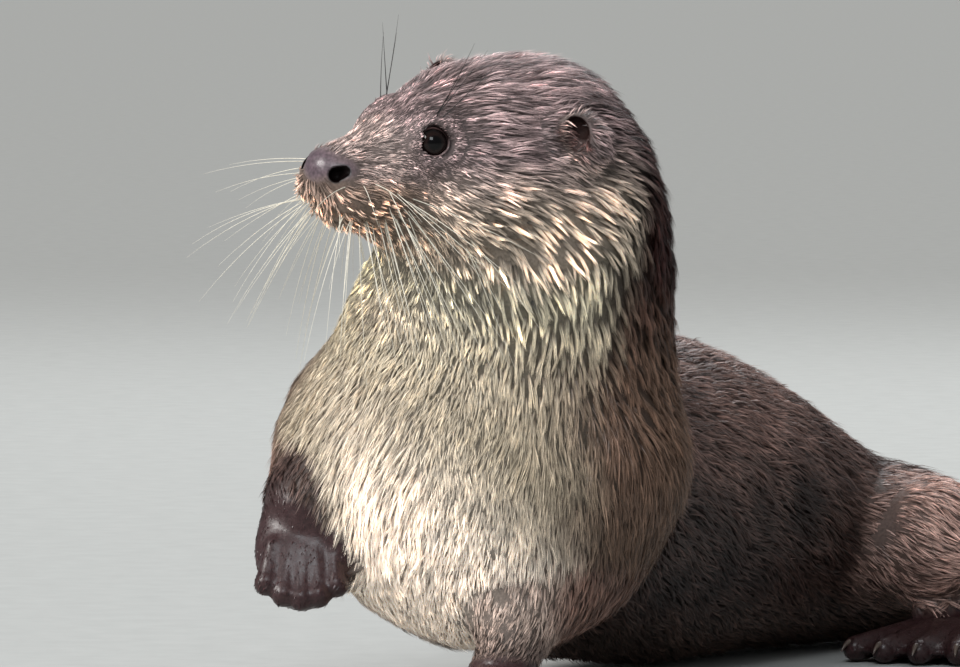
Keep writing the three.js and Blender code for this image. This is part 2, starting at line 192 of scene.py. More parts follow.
@dataclass(frozen=True)
class Carved:
    """A field with a hollow taken out of it and the rim rounded by fillet."""

    solid: Field
    hollow: Field
    fillet: float

    def __call__(self, p: Array) -> Array:
        """Distance of each point."""
        return -blended(-self.solid(p), self.hollow(p), self.fillet)


@dataclass(frozen=True)
class Mirrored:
    """A field repeated on both sides of y = 0."""

    part: Field

    def __call__(self, p: Array) -> Array:
        """Distance of each point."""
        return self.part(on_left(p))


@dataclass(frozen=True)
class Placed:
    """A field drawn in a local frame: its matrix has the local axes as columns."""

    turn: Array
    origin: Array
    part: Field

    def __call__(self, p: Array) -> Array:
        """Distance of each point."""
        return self.part((p - self.origin) @ self.turn)


@dataclass(frozen=True)
class Within:
    """A field worked out only inside a ball; outside it, the distance to that ball."""

    centre: Sequence[float]
    radius: float
    part: Field

    def __call__(self, p: Array) -> Array:
        """Distance of each point.

        Args:
            p: Points, (n, 3), in mm.

        Returns:
            The distances, (n,).
        """
        away = np.linalg.norm(p - np.array(self.centre), axis=1) - self.radius
        found = away + 20
        inside = np.flatnonzero(away < 0)
        if len(inside):
            found[inside] = self.part(p[inside])
        return found


@dataclass(frozen=True)
class Squeezed:
    """A field made narrower by share along y about y = middle."""

    part: Field
    middle: float
    share: float

    def __call__(self, p: Array) -> Array:
        """Distance of each point.

        Args:
            p: Points, (n, 3), in mm.

        Returns:
            The distances, (n,).
        """
        q = p.copy()
        q[:, 1] = self.middle + (p[:, 1] - self.middle) / self.share
        return self.part(q)


def blended(first: Array, second: Array, fillet: float) -> Array:
    """The smooth minimum of two distances."""
    share = np.maximum(fillet - np.abs(first - second), 0) / fillet
    return np.minimum(first, second) - share * share * fillet * 0.25


def joined(fillet: float, *parts: Field) -> Joined:
    """Several fields joined with one fillet."""
    return Joined(fillet, parts)


def slope_of(form: Field, p: Array, away: Array) -> Array:
    """The unit slope of a form at points p, whose distances are away, from three short probes."""
    return unit(np.stack([form(p + PROBE * axis) - away for axis in np.eye(3)], 1))


def through(points: Array, steps: int) -> Array:
    """A smooth curve through points: a centripetal Catmull-Rom spline at even parameters.

    Args:
        points: The points, (n, k).
        steps: How many steps the curve has.

    Returns:
        The curve, (steps + 1, k).
    """
    pts = np.concatenate([2 * points[:1] - points[1:2], points, 2 * points[-1:] - points[-2:-1]])
    knots = np.maximum(np.linalg.norm(np.diff(pts, axis=0), axis=1), 1e-6) ** 0.5
    at = np.linspace(0, len(points) - 1, steps + 1)
    i = np.minimum(at.astype(int), len(points) - 2)
    s = (at - i)[:, None]
    d0, d1, d2 = (knots[i + k][:, None] for k in range(3))
    p0, p1, p2, p3 = (pts[i + k] for k in range(4))
    m1 = ((p1 - p0) / d0 - (p2 - p0) / (d0 + d1) + (p2 - p1) / d1) * d1
    m2 = ((p2 - p1) / d1 - (p3 - p1) / (d1 + d2) + (p3 - p2) / d2) * d1
    return (
        (2 * s**3 - 3 * s**2 + 1) * p1
        + (s**3 - 2 * s**2 + s) * m1
        + (3 * s**2 - 2 * s**3) * p2
        + (s**3 - s**2) * m2
    )


@dataclass(frozen=True)
class Sweep:
    """A tapering tube round a smooth curve through stations of x, y, z and radius."""

    stations: Sequence[tuple[float, float, float, float]]
    steps: int

    def links(self) -> list[Limb]:
        """The curve as short round-ended cones.

        Returns:
            The cones, from the first station to the last.
        """
        rows = np.array(self.stations, float)
        line = through(rows[:, :3], self.steps)
        width = through(rows[:, 3:], self.steps)[:, 0]
        return [Limb(line[i], width[i], line[i + 1], width[i + 1]) for i in range(self.steps)]

    def __call__(self, p: Array) -> Array:
        """Distance of each point.

        Args:
            p: Points, (n, 3), in mm.

        Returns:
            The distances, (n,).
        """
        nearest = np.full(len(p), 1e3)
        for link in self.links():
            nearest = np.minimum(nearest, link(p))
        return nearest


# ------------------------------------------------------------------ the skeleton and its form


def turned(x: float, y: float, z: float) -> Array:
    """A turn about X, then Y, then Z, in degrees, as a matrix."""
    return np.array(Euler([math.radians(a) for a in (x, y, z)]).to_matrix())


def aimed(start: Array, end: Array, up: Triple) -> Array:
    """A frame whose x axis points from start to end and whose z axis leans towards up.

    Args:
        start: Where it starts.
        end: What it points at.
        up: Roughly upwards.

    Returns:
        The axes, as columns.
    """
    forward = unit(np.asarray(end, float) - start)
    side = unit(np.cross(up, forward))
    return np.stack([forward, side, np.cross(forward, side)], 1)


@dataclass(frozen=True)
class Head:
    """The head in its own frame: x forward from the plane of the ears, y to its left, z up."""

    origin: Triple = (8, 5, 204)
    turns: Triple = (-14, 5, 220)
    eye: Triple = (48.7, 15.5, 15.9)
    eye_radius: float = 6.2
    gaze: Triple = (0.45, 0.85, 0.3)
    ear: Triple = (-1, 39, 19.5)
    nose: Triple = (84.5, 0, 5.5)

    @property
    def axes(self) -> Array:
        """The head's axes as columns."""
        return turned(*self.turns)

    def local(self, p: Array) -> Array:
        """Points of the layout frame in the head's frame."""
        return (p - np.array(self.origin)) @ self.axes

    def outward(self, q: Array) -> Array:
        """Points of the head's frame in the layout frame."""
        return q @ self.axes.T + np.array(self.origin)

    def nose_pad(self) -> Field:
        """The bare nose: two ovals, the upper one set back, and its wings.

        Returns:
            The form's field.
        """
        x, y, z = self.nose
        return joined(4, Oval((x, y, z), (6.6, 9.0, 6.8)), Oval((x - 6, 0, z + 2), (8, 8.2, 5.4)),
                      Mirrored(Oval((x - 3.4, 8.4, z - 1.2), (5.2, 4.6, 5.2))))

    def nostril(self) -> Field:
        """A slanting hole at each side of the nose."""
        x, _, z = self.nose
        return Mirrored(Limb((x + 2.2, 8.6, z + 0.6), 2.5, (x + 0.6, 10.9, z + 2.5), 1.7))

    def skull(self) -> Field:
        """Braincase, cheeks, brows and throat.

        Returns:
            The form's field.
        """
        return joined(
            16,
            Oval((3, 0, 4), (46, 40.5, 29.5)),
            Mirrored(Oval((20, 21, -10), (32, 22, 23))),
            Oval((17, 0, 10), (31, 30, 26)),
            Mirrored(Oval((41, 11.8, 11.5), (13, 7.5, 5.6))),
            Oval((30, 0, -16), (30, 22, 15)),
        )

    def muzzle(self) -> Field:
        """Bridge, jaw and whisker pads.

        Returns:
            The form's field.
        """
        return joined(
            12,
            Limb((45, 0, 10), 18, (80, 0, 4.5), 9.8),
            Limb((40, 0, -13), 14, (76, 0, -11), 6.5),
            Mirrored(Oval((74.5, 9.5, -4.5), (14.5, 11.5, 10))),
        )

    def ear_frame(self, side: int) -> tuple[Array, Array]:
        """The axes and origin of an ear in the layout frame; x runs out of its opening."""
        turn = self.axes @ turned(-28 * side, -12, 28 * side)
        return turn, self.outward(np.array([[self.ear[0], side * self.ear[1], self.ear[2]]]))[0]

    def in_ear(self, p: Array, side: int) -> Array:
        """Layout points in the frame of one ear."""
        turn, at = self.ear_frame(side)
        return (p - at) @ turn

    def from_ears(self, p: Array) -> Array:
        """How far layout points are from the nearer ear."""
        away = [np.linalg.norm(p - self.ear_frame(side)[1], axis=1) for side in SIDES.values()]
        return np.minimum(*away)

    def from_eye(self, q: Array) -> Array:
        """Points of the head's frame as steps from the eye of their side."""
        return on_left(q) - self.eye

    def lids(self) -> Field:
        """A thin round mound over each eye, where the lids close round the ball."""
        return Mirrored(Oval(self.eye, (6.8, 6.6, 6.8)))

    def eye_opening(self) -> Field:
        """The gap between the lids: a cone that widens along the gaze, and its two corners.

        Returns:
            The form's field.
        """
        gaze = unit(np.array(self.gaze))
        start = np.array(self.eye) + 1.0 * gaze
        ahead = unit(np.cross(np.cross(gaze, (0.85, -0.45, -0.42)), gaze))
        corners = (
            Limb(start + 4 * gaze + way * reach, 1.7, start + 7 * gaze + way * (reach + 3.2), 0.5)
            for way, reach in ((ahead, 3.6), (-ahead, 3.4))
        )
        return Mirrored(joined(1.0, Limb(start, 4.1, start + 12 * gaze, 5.6), *corners))

    def lip_line(self) -> Array:
        """The mouth's line on the left side, from under the nose to its corner."""
        return np.array([[91.0, 0, -7], [87, 8, -9.5], [78, 15.5, -12.5], [66, 20.5, -14],
                         [54, 23.5, -13], [46, 25.5, -11]])

    def creases(self) -> Field:
        """The closed mouth, the groove under the nose and the fold under each eye, as tubes.

        Returns:
            The form's field.
        """
        lip = self.lip_line()
        x, y, z = self.eye
        fold = np.array([[x + 3, y + 4.5, z - 8], [x - 3, y + 6.5, z - 11.5],
                         [x - 10, y + 7, z - 11.5], [x - 15, y + 7.5, z - 8]])
        tubes = [Limb(a, 1.0, b, 1.0) for a, b in zip(lip[:-1], lip[1:])]
        tubes += [Limb(a, 1.1, b, 1.1) for a, b in zip(fold[:-1], fold[1:])]
        tubes.append(Limb((93, 0, 1), 0.8, (91, 0, -7), 0.9))
        return Mirrored(Joined(0.5, tuple(tubes)))

    def form(self) -> Field:
        """The head with its nose pad, open eyes and nostrils.

        Returns:
            The form's field.
        """
        solid = joined(14, self.skull(), self.muzzle())
        solid = Carved(solid, Mirrored(Oval(tuple(np.array(self.eye) + 9 * unit(np.array(self.gaze))),
                                            (9, 4, 6.5))), 4)
        solid = joined(2.5, solid, self.lids())
        solid = Carved(solid, self.eye_opening(), 1.0)
        solid = Carved(solid, Mirrored(Oval(self.eye, (6.5, 6.5, 6.5))), 0.3)
        solid = joined(2.0, solid, self.nose_pad())
        solid = Carved(solid, self.nostril(), 1.2)
        return Carved(solid, self.creases(), 1.6)

    def ear_hole(self, side: int) -> Oval:
        """The hole in an ear's cup, in the ear's frame."""
        return Oval((2.8, -0.6 * side, 3.6), (4.6, 4.8, 3.4))

    def ears(self) -> Field:
        """Two small round cups that open forwards and outwards.

        Returns:
            The field, in the layout frame.
        """
        cups = (
            Carved(Oval((0, 2.2 * side, 0), (6, 11.2, 9.2)),
                   joined(0.8, Oval((7, -0.3 * side, 0.8), (5.6, 8, 6.6)), self.ear_hole(side)), 1.2)
            for side in SIDES.values()
        )
        places = [self.ear_frame(side) for side in SIDES.values()]
        return joined(0.1, *(Within(at, 26, Placed(turn, at, cup))
                             for (turn, at), cup in zip(places, cups)))


@dataclass(frozen=True)
class Paw:
    """A foot in its own frame, x from wrist or heel to the toes: joints, toes and claws."""

    turn: Array
    origin: Array
    hind: bool
    limp: bool = False

    def rays(self) -> list[tuple[Array, Array, Array, float]]:
        """Root, tip and claw point of each toe, and its thickness.

        Returns:
            A row for each of the five toes.
        """
        knuckle, length, radius, spread, width, droop, claw = (
            (66, 38, 6.2, 0.4, 16, -4, 7) if self.hind else (26, 17, 5.6, 0.36, 12.5, -3, 6)
        )
        found = []
        for across in np.linspace(-1, 1, 5):
            turn = across * spread
            reach = length * (1 - 0.13 * abs(across + 0.15) ** 1.6)
            way = np.array([math.cos(turn), math.sin(turn), 0])
            root = np.array([knuckle, across * width, 0])
            tip = root + reach * way + (0, 0, droop)
            found.append((root, tip, tip + claw * way - (0, 0, 0.2 * claw), radius))
        return found

    def curled(self) -> list[tuple[Array, Array, Array]]:
        """Root, knuckle and tip of each toe of a limp paw, bent down and back under the palm.

        Returns:
            A row for each of the five toes.
        """
        return [
            (np.array([24, 10.5 * across, 4.3]), np.array([45 - 6 * across**2, 12.8 * across, 3]),
             np.array([37 - 6 * across**2, 11 * across, -12]))
            for across in np.linspace(-1, 1, 5)
        ]

    def form(self) -> Field:
        """The foot without its claws.

        Returns:
            The field, in the layout frame.
        """
        toes = [Limb(root, 1.05 * r, tip, 0.92 * r) for root, tip, _, r in self.rays()]
        if self.limp:
            palm: tuple[Field, ...] = (Limb((-8, 0, 0), 12.5, (14, 0, 0), 11.5),
                                       Oval((22, 0, -1), (26, 18.5, 10.5)))
            toes = []
            for root, knuckle, tip in self.curled():
                toes += [Limb(root, 4.4, knuckle, 5.0), Limb(knuckle, 5.0, tip, 4.4)]
        elif self.hind:
            palm = (
                Limb((0, 0, 4), 13, (45, 0, -1), 12),
                Oval((60, 0, -2), (26, 21, 9)),
                Oval((82, 0, -4), (20, 26, 5)),
            )
        else:
            palm = (Oval((14, 0, 0), (25, 18.5, 11)),)
        reach = 60 if self.hind else 20
        drawn = Placed(self.turn, self.origin, joined(1.2 if self.limp else 2.6, *palm, *toes))
        return Within(self.origin + reach * self.turn[:, 0], reach + 60, drawn)


@dataclass(frozen=True)
class Skeleton:
    """Joints of the whole animal in the layout frame, and the form drawn round them."""

    head: Head = Head()
    neck: tuple[tuple[float, float, float, float], ...] = (
        (3, 24, 90, 72), (4, 20, 104, 71), (8, 16, 120, 68), (12, 13, 136, 63),
        (16.5, 10, 153, 58.5), (21, 8, 170, 53.5), (21.5, 10, 187, 49), (19, 12, 200, 43.5),
    )
    spine: tuple[tuple[float, float, float, float], ...] = (
        (4, 30, 90, 50), (14, 80, 80, 61), (30, 135, 73, 67), (56, 198, 68, 69.5),
        (95, 258, 58, 59.5), (142, 312, 41, 42.5), (184, 350, 28.5, 30), (216, 374, 23.5, 25),
        (260, 391, 19.5, 21), (315, 392, 16, 17.5), (372, 370, 13.5, 15), (422, 326, 9.5, 11),
        (460, 268, 6.5, 8), (478, 208, 5, 6.5),
    )
    fore: tuple[tuple[Triple, Triple, Triple], ...] = (
        ((-49, 36, 100), (-60, 50, 78), (-65, 2, 80)),
        ((50, -6, 92), (33, 8, 58), (10, -34, 25)),
    )
    hips: Triple = (155, 324, 0)
    hips_turn: float = 230

    def hind(self, side: int) -> list[Array]:
        """Hip, knee, heel and toe of one hind leg.

        Args:
            side: 1 for the left leg and -1 for the right.

        Returns:
            The four joints.
        """
        turn = turned(0, 0, self.hips_turn)
        rows = ((4, 26, 42), (28, 56, 44), (-20, 60, 20), (72, 88, 8))
        return [turn @ np.array([x, side * y, z]) + self.hips for x, y, z in rows]

    def paws(self) -> dict[str, Paw]:
        """The four feet by the name of their solids.

        Returns:
            The feet.
        """
        right, left = np.array(self.fore[0][2], float), np.array(self.fore[1][2], float)
        left[2] = 9.5
        made = {
            "forepaw_right": Paw(aimed(right, (-66, -24, 38), (0, -1, 0.35)), right, False, True),
            "forepaw_left": Paw(aimed(left, (-4, -76, 8.5), (0, 0, 1)), left, False),
        }
        for name, side in SIDES.items():
            _, _, heel, toe = self.hind(side)
            heel, toe = heel * (1, 1, 0) + (0, 0, 10.5), toe * (1, 1, 0) + (0, 0, 9.5)
            made[f"hindfoot_{name}"] = Paw(aimed(heel, toe, (0, 0, 1)), heel, True)
        return made

    def legs(self) -> list[list[Limb]]:
        """Upper and lower length of each leg.

        Returns:
            A pair of lengths for each leg, the forelegs first.
        """
        made = [
            [Limb(shoulder, 31, elbow, 22), Limb(elbow, 21, wrist, 16)]
            for shoulder, elbow, wrist in self.fore
        ]
        for side in SIDES.values():
            hip, knee, heel, _ = self.hind(side)
            made.append([Limb(hip, 34, knee, 27), Limb(knee, 25, heel, 14)])
        return made

    def body(self) -> Field:
        """Trunk, neck, tail and legs.

        Returns:
            The field, without head and feet.
        """
        neck = Within((12, 13, 145), 160, Squeezed(Sweep(self.neck, 16), 14, 0.86))
        chest = Placed(turned(0, 0, -24), np.array((2.0, 24, 89)), Oval((0, 0, 0), (67, 72, 61)))
        fore_right, fore_left, hind_left, hind_right = self.legs()
        torso = joined(
            14, Sweep(self.spine, 40), joined(18, chest, neck),
            joined(16, *hind_left), joined(16, *hind_right),
        )
        return joined(20, torso, joined(12, joined(12, *fore_right), joined(12, *fore_left)))

    def form(self) -> Field:
        """The whole animal out to the tips of its coat.

        Returns:
            The field.
        """
        middle = self.head.outward(np.array([[20.0, 0, 0]]))[0]
        head = Within(middle, 125, Placed(self.head.axes, np.array(self.head.origin, float),
                                          self.head.form()))
        whole = joined(13, self.body(), head)
        return joined(2.0, joined(6, whole, *(p.form() for p in self.paws().values())),
                      self.head.ears())


# ------------------------------------------------------------------ meshes and places


@dataclass(frozen=True)
class Workshop:
    """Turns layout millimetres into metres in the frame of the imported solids, and makes objects."""

    skeleton: Skeleton = Skeleton()

    @property
    def head(self) -> Head:
        """The skeleton's head."""
        return self.skeleton.head

    @property
    def zones(self) -> "Zones":
        """Where things are on the skeleton."""
        return Zones(self.skeleton)

    @property
    def shift(self) -> Array:
        """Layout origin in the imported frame, in mm, from the place of the left eye's solid.

        Returns:
            The shift, (3,).
        """
        lo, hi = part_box("eye_left")
        drawn = self.head.outward(np.array([self.head.eye]))[0]
        return (np.array(lo) + np.array(hi)) / 2 / MILLIMETRE - drawn

    def place(self, p: Array) -> Array:
        """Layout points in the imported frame, in metres."""
        return (p + self.shift) * MILLIMETRE

    def layout(self, co: Array) -> Array:
        """Packed places in the layout frame, in mm."""
        return co / MILLIMETRE - self.shift

    def piece(self, name: str, points: Array, faces: Array | list, material: bpy.types.Material,
              slot: str) -> bpy.types.Object:
        """A new object from layout points and faces, dressed and riding on the body.

        Args:
            name: The piece's name.
            points: Places of the vertices, in layout mm.
            faces: Corner numbers, a list or an (n, 3) or (n, 4) array.
            material: What it is made of.
            slot: Not used.

        Returns:
            The object, at the origin.
        """
        mesh = bpy.data.meshes.new(name)
        fill_mesh(mesh, self.place(points), np.asarray(faces))
        mesh.materials.append(material)
        made = stand(name, mesh)
        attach(made, BODY)
        return made


def stand(name: str, data: bpy.types.ID) -> bpy.types.Object:
    """A new object of the scene.

    Args:
        name: Its name.
        data: Its mesh, camera or light.

    Returns:
        The object, at the origin.
    """
    made = bpy.data.objects.new(name, data)
    bpy.context.scene.collection.objects.link(made)
    return made


def fill_mesh(mesh: bpy.types.Mesh, points: Array, faces: Array) -> None:
    """Puts points (n, 3) and faces (m, k), all with k corners, into an empty mesh.

    Args:
        mesh: The empty mesh.
        points: Places, (n, 3), in metres.
        faces: Corner numbers, (m, 3) or (m, 4).
    """
    corners = faces.shape[1]
    mesh.vertices.add(len(points))
    mesh.vertices.foreach_set("co", points.astype(np.float32).ravel())
    mesh.loops.add(faces.size)
    mesh.loops.foreach_set("vertex_index", faces.astype(np.int32).ravel())
    mesh.polygons.add(len(faces))
    mesh.polygons.foreach_set("loop_start", np.arange(0, faces.size, corners, dtype=np.int32))
    mesh.update(calc_edges=True)
    mesh.validate()


def read(rows: bpy.types.bpy_prop_collection, name: str, width: int, kind: type) -> Array:
    """One property of every member of a collection.

    Args:
        rows: The collection, such as a mesh's vertices.
        name: The property.
        width: How many numbers it has.
        kind: Their type.

    Returns:
        The numbers, as (n, width).
    """
    found = np.empty(width * len(rows), kind)
    rows.foreach_get(name, found)
    return found.reshape(-1, width)


def points_of(mesh: bpy.types.Mesh) -> Array:
    """The vertices' places as (n, 3)."""
    return read(mesh.vertices, "co", 3, np.float32).astype(float)


def normals_of(mesh: bpy.types.Mesh) -> Array:
    """The vertices' normals as (n, 3)."""
    return read(mesh.vertex_normals, "vector", 3, np.float32).astype(float)


def middles_of(mesh: bpy.types.Mesh) -> Array:
    """The faces' middles as (n, 3)."""
    return read(mesh.polygons, "center", 3, np.float32).astype(float)


@contextmanager
def worked(mesh: bpy.types.Mesh) -> Iterator[bmesh.types.BMesh]:
    """Opens a mesh for editing, and stores it again afterwards.

    Args:
        mesh: The mesh.
    """
    work = bmesh.new()
    work.from_mesh(mesh)
    yield work
    work.to_mesh(mesh)
    work.free()


@dataclass(frozen=True)
class Web:
    """A mesh's edges as their two ends, (m, 2)."""

    ends: Array

    def means(self, p: Array) -> Array:
        """The mean place of each vertex's neighbours.

        Args:
            p: The vertices' places, (n, 3).

        Returns:
            The means, (n, 3).
        """
        i, j = self.ends.T
        count = np.bincount(self.ends.ravel(), minlength=len(p))[:, None]
        total = np.stack([np.bincount(i, p[j, k], len(p)) + np.bincount(j, p[i, k], len(p))
                          for k in range(3)], 1)
        return total / np.maximum(count, 1)


def web_of(mesh: bpy.types.Mesh) -> Web:
    """A mesh's edges."""
    return Web(read(mesh.edges, "vertices", 2, np.int32))


def put_colour(mesh: bpy.types.Mesh, name: str, colours: Array) -> None:
    """Stores a linear colour at each vertex.

    Args:
        mesh: The mesh.
        name: The attribute's name.
        colours: Linear colours, (n, 3).
    """
    layer = mesh.color_attributes.new(name, "FLOAT_COLOR", "POINT")
    rows = np.concatenate([colours, np.ones((len(colours), 1))], 1)
    layer.data.foreach_set("color", rows.astype(np.float32).ravel())


# ------------------------------------------------------------------ the skin


@dataclass
class Skin:
    """One seamless skin under the coat, drawn on to the form from the joined solids."""

    shop: Workshop
    flesh: tuple[str, ...] = (
        "head", "nose", "neck", "chest", "trunk", "hips", "tail_base", "tail_tip",
        "foreleg_left", "foreleg_right", "hindleg_left", "hindleg_right",
        "forepaw_left", "forepaw_right", "hindfoot_left", "hindfoot_right",
        "ear_left", "ear_right",
    )
    voxel: float = 0.0016
    overlap: float = 0.0007
    body_share: float = 0.26
    floor_gap: float = 0.4

    def coat_depth(self, p: Array) -> Array:
        """How far the skin lies under the form at each point, in mm.

        Args:
            p: Layout points, (n, 3).

        Returns:
            The depths, (n,).
        """
        head = self.shop.head
        q = head.local(p)
        tail = ramp(p[:, 0], 150, 260) * ramp(p[:, 1], 150, 200)
        on_head = ramp(-np.linalg.norm(q - (20, 0, 0), axis=1), -85, -48)
        face = ramp(q[:, 0], 36, 66) * ramp(-np.abs(q[:, 1]), -45, -30) * on_head
        depth = np.full(len(p), 4.6)
        for own, share in ((2.6, tail), (1.9, on_head), (0.9, face), (0.7, self.shop.zones.paws(p))):
            depth = depth * (1 - share) + own * share
        nose, eye = head.nose_pad()(q), np.linalg.norm(head.from_eye(q), axis=1)
        bare = np.minimum(ramp(eye, 8.5, 13), ramp(head.from_ears(p), 11, 17))
        return depth * np.minimum(ramp(nose, 0.5, 5), bare)

    def joined_solids(self) -> bpy.types.Object:
        """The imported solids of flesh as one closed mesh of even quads.

        Returns:
            The skin's object, still rough.
        """
        whole = bmesh.new()
        for name in self.flesh:
            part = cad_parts[name].data.copy()
            with worked(part) as work:
                bmesh.ops.remove_doubles(work, verts=work.verts, dist=1e-6)
            raised = points_of(part) + self.overlap * normals_of(part)
            part.vertices.foreach_set("co", raised.astype(np.float32).ravel())
            whole.from_mesh(part)
            bpy.data.meshes.remove(part)
        mesh = bpy.data.meshes.new("skin")
        whole.to_mesh(mesh)
        whole.free()
        made = stand("skin", mesh)
        remesh = made.modifiers.new("even", "REMESH")
        remesh.mode = "VOXEL"
        remesh.voxel_size = self.voxel
        self.apply(made)
        self.keep_outer(made.data)
        return made

    def keep_outer(self, mesh: bpy.types.Mesh) -> None:
        """Removes the small closed shells inside, and keeps the one with the most vertices.

        Args:
            mesh: The skin's mesh.
        """
        ends = web_of(mesh).ends
        label = np.arange(len(mesh.vertices))
        while True:
            low = label.copy()
            np.minimum.at(low, ends[:, 0], label[ends[:, 1]])
            np.minimum.at(low, ends[:, 1], label[ends[:, 0]])
            low = low[low]
            if (low == label).all():
                break
            label = low
        outer = np.bincount(label).argmax()
        with worked(mesh) as work:
            work.verts.ensure_lookup_table()
            spare = [work.verts[i] for i in np.flatnonzero(label != outer)]
            bmesh.ops.delete(work, geom=spare, context="VERTS")

    def apply(self, made: bpy.types.Object) -> None:
        """Applies the object's modifiers to its mesh.

        Args:
            made: The object.
        """
        graph = bpy.context.evaluated_depsgraph_get()
        mesh = bpy.data.meshes.new_from_object(made.evaluated_get(graph))
        made.modifiers.clear()
        old, made.data = made.data, mesh
        bpy.data.meshes.remove(old)
        mesh.name = made.name

    def thin(self, made: bpy.types.Object) -> None:
        """Makes the body's mesh coarser and leaves the head's and the feet's as it is.

        Args:
            made: The skin.
        """
        p = self.shop.layout(points_of(made.data))
        far = ramp(np.linalg.norm(self.shop.head.local(p) - (20, 0, 0), axis=1), 75, 100)
        far *= 1 - np.clip(2 * self.shop.zones.paws(p), 0, 1)
        group = made.vertex_groups.new(name="body")
        for level in range(1, 5):
            rows = np.flatnonzero(np.abs(far * 4 - level) < 0.5)
            group.add(rows.tolist(), level / 4, "REPLACE")
        modifier = made.modifiers.new("thin", "DECIMATE")
        modifier.ratio = self.body_share
        modifier.vertex_group = "body"
        modifier.vertex_group_factor = 8
        self.apply(made)

    def refine(self, made: bpy.types.Object, near: Callable[[Array], Array]) -> None:
        """Splits the faces whose middles satisfy near, once.

        Args:
            made: The skin.
            near: Says which of some layout points to split at.
        """
        chosen = np.flatnonzero(near(self.shop.layout(middles_of(made.data))))
        with worked(made.data) as work:
            work.faces.ensure_lookup_table()
            edges = {e for i in chosen for e in work.faces[i].edges}
            bmesh.ops.subdivide_edges(work, edges=list(edges), cuts=1, use_grid_fill=True)
            bmesh.ops.triangulate(work, faces=[f for f in work.faces if len(f.verts) > 4])

    def settle(self, mesh: bpy.types.Mesh, passes: int, reach: float, even: float,
               near: Callable[[Array], Array] | None = None) -> None:
        """Slides the skin along its normals on to the form less the coat's depth.

        Args:
            mesh: The skin's mesh.
            passes: How many times it moves.
            reach: The longest move in one pass, in mm.
            even: How far each vertex also goes to the mean of its neighbours in a pass.
            near: Which vertices move; all of them if it isn't given.
        """
        form = self.shop.skeleton.form()
        web = web_of(mesh)
        p = self.shop.layout(points_of(mesh))
        moved = np.flatnonzero(near(p)) if near else np.arange(len(p))
        for _ in range(passes):
            at = p[moved]
            away = form(at)
            slope = slope_of(form, at, away)
            p[moved] = at - slope * np.clip(away + self.coat_depth(at), -reach, reach)[:, None]
            mean = (web.means(p) - p)[moved]
            p[moved] += even * (mean - slope * (mean * slope).sum(1, keepdims=True))
            p[:, 2] = np.maximum(p[:, 2], self.floor_gap)
        self.store(mesh, p)

    def store(self, mesh: bpy.types.Mesh, p: Array) -> None:
        """Puts layout points into the mesh."""
        mesh.vertices.foreach_set("co", self.shop.place(p).astype(np.float32).ravel())
        mesh.update()

    def soften(self, mesh: bpy.types.Mesh, passes: int) -> None:
        """Rubs the solids' facets off the body: each vertex goes half way to its neighbours.

        Args:
            mesh: The skin's mesh.
            passes: How many times it is rubbed.
        """
        web = web_of(mesh)
        p = self.shop.layout(points_of(mesh))
        share = 0.5 * ramp(np.linalg.norm(self.shop.head.local(p) - (20, 0, 0), axis=1), 62, 80)
        for paw in self.shop.skeleton.paws().values():
            r = (p - paw.origin) @ paw.turn
            share *= 1 - ramp(r[:, 0], 15, 30) * (np.hypot(r[:, 1], r[:, 2]) < 45)
        for _ in range(passes):
            p += share[:, None] * (web.means(p) - p)
        self.store(mesh, p)

    def make(self) -> bpy.types.Object:
        """Builds the skin.

        Returns:
            The skin, without its materials.
        """
        head = self.shop.head
        made = self.joined_solids()
        log.info("skin joined: %d faces", len(made.data.polygons))
        self.soften(made.data, 25)
        self.thin(made)
        log.info("skin thinned: %d faces", len(made.data.polygons))
        self.settle(made.data, 4, 3.0, 0.3)

        def face(p: Array) -> Array:
            """Whether points are on the face or an ear."""
            q = head.local(p)
            front = (q[:, 0] > 38) & (np.linalg.norm(q - (55, 0, 0), axis=1) < 50)
            return front | (head.from_ears(p) < 16)

        def close(p: Array) -> Array:
            """Whether points are by an eye, the nose or a crease."""
            q = on_left(head.local(p))
            eye = np.linalg.norm(q - head.eye, axis=1)
            nose = np.linalg.norm(q - head.nose, axis=1)
            return (eye < 11) | (nose < 15) | (head.creases()(q) < 2.5)

        def feet(p: Array) -> Array:
            """Whether points are on a foot."""
            return self.shop.zones.paws(p) > 0.2

        self.settle(made.data, 8, 1.5, 0.2, feet)
        self.refine(made, face)
        self.settle(made.data, 2, 1.5, 0.25, face)
        self.refine(made, close)
        self.settle(made.data, 5, 0.8, 0.35, close)
        log.info("skin refined: %d faces", len(made.data.polygons))
        made.data.shade_smooth()
        return made


# ------------------------------------------------------------------ where things are on the body


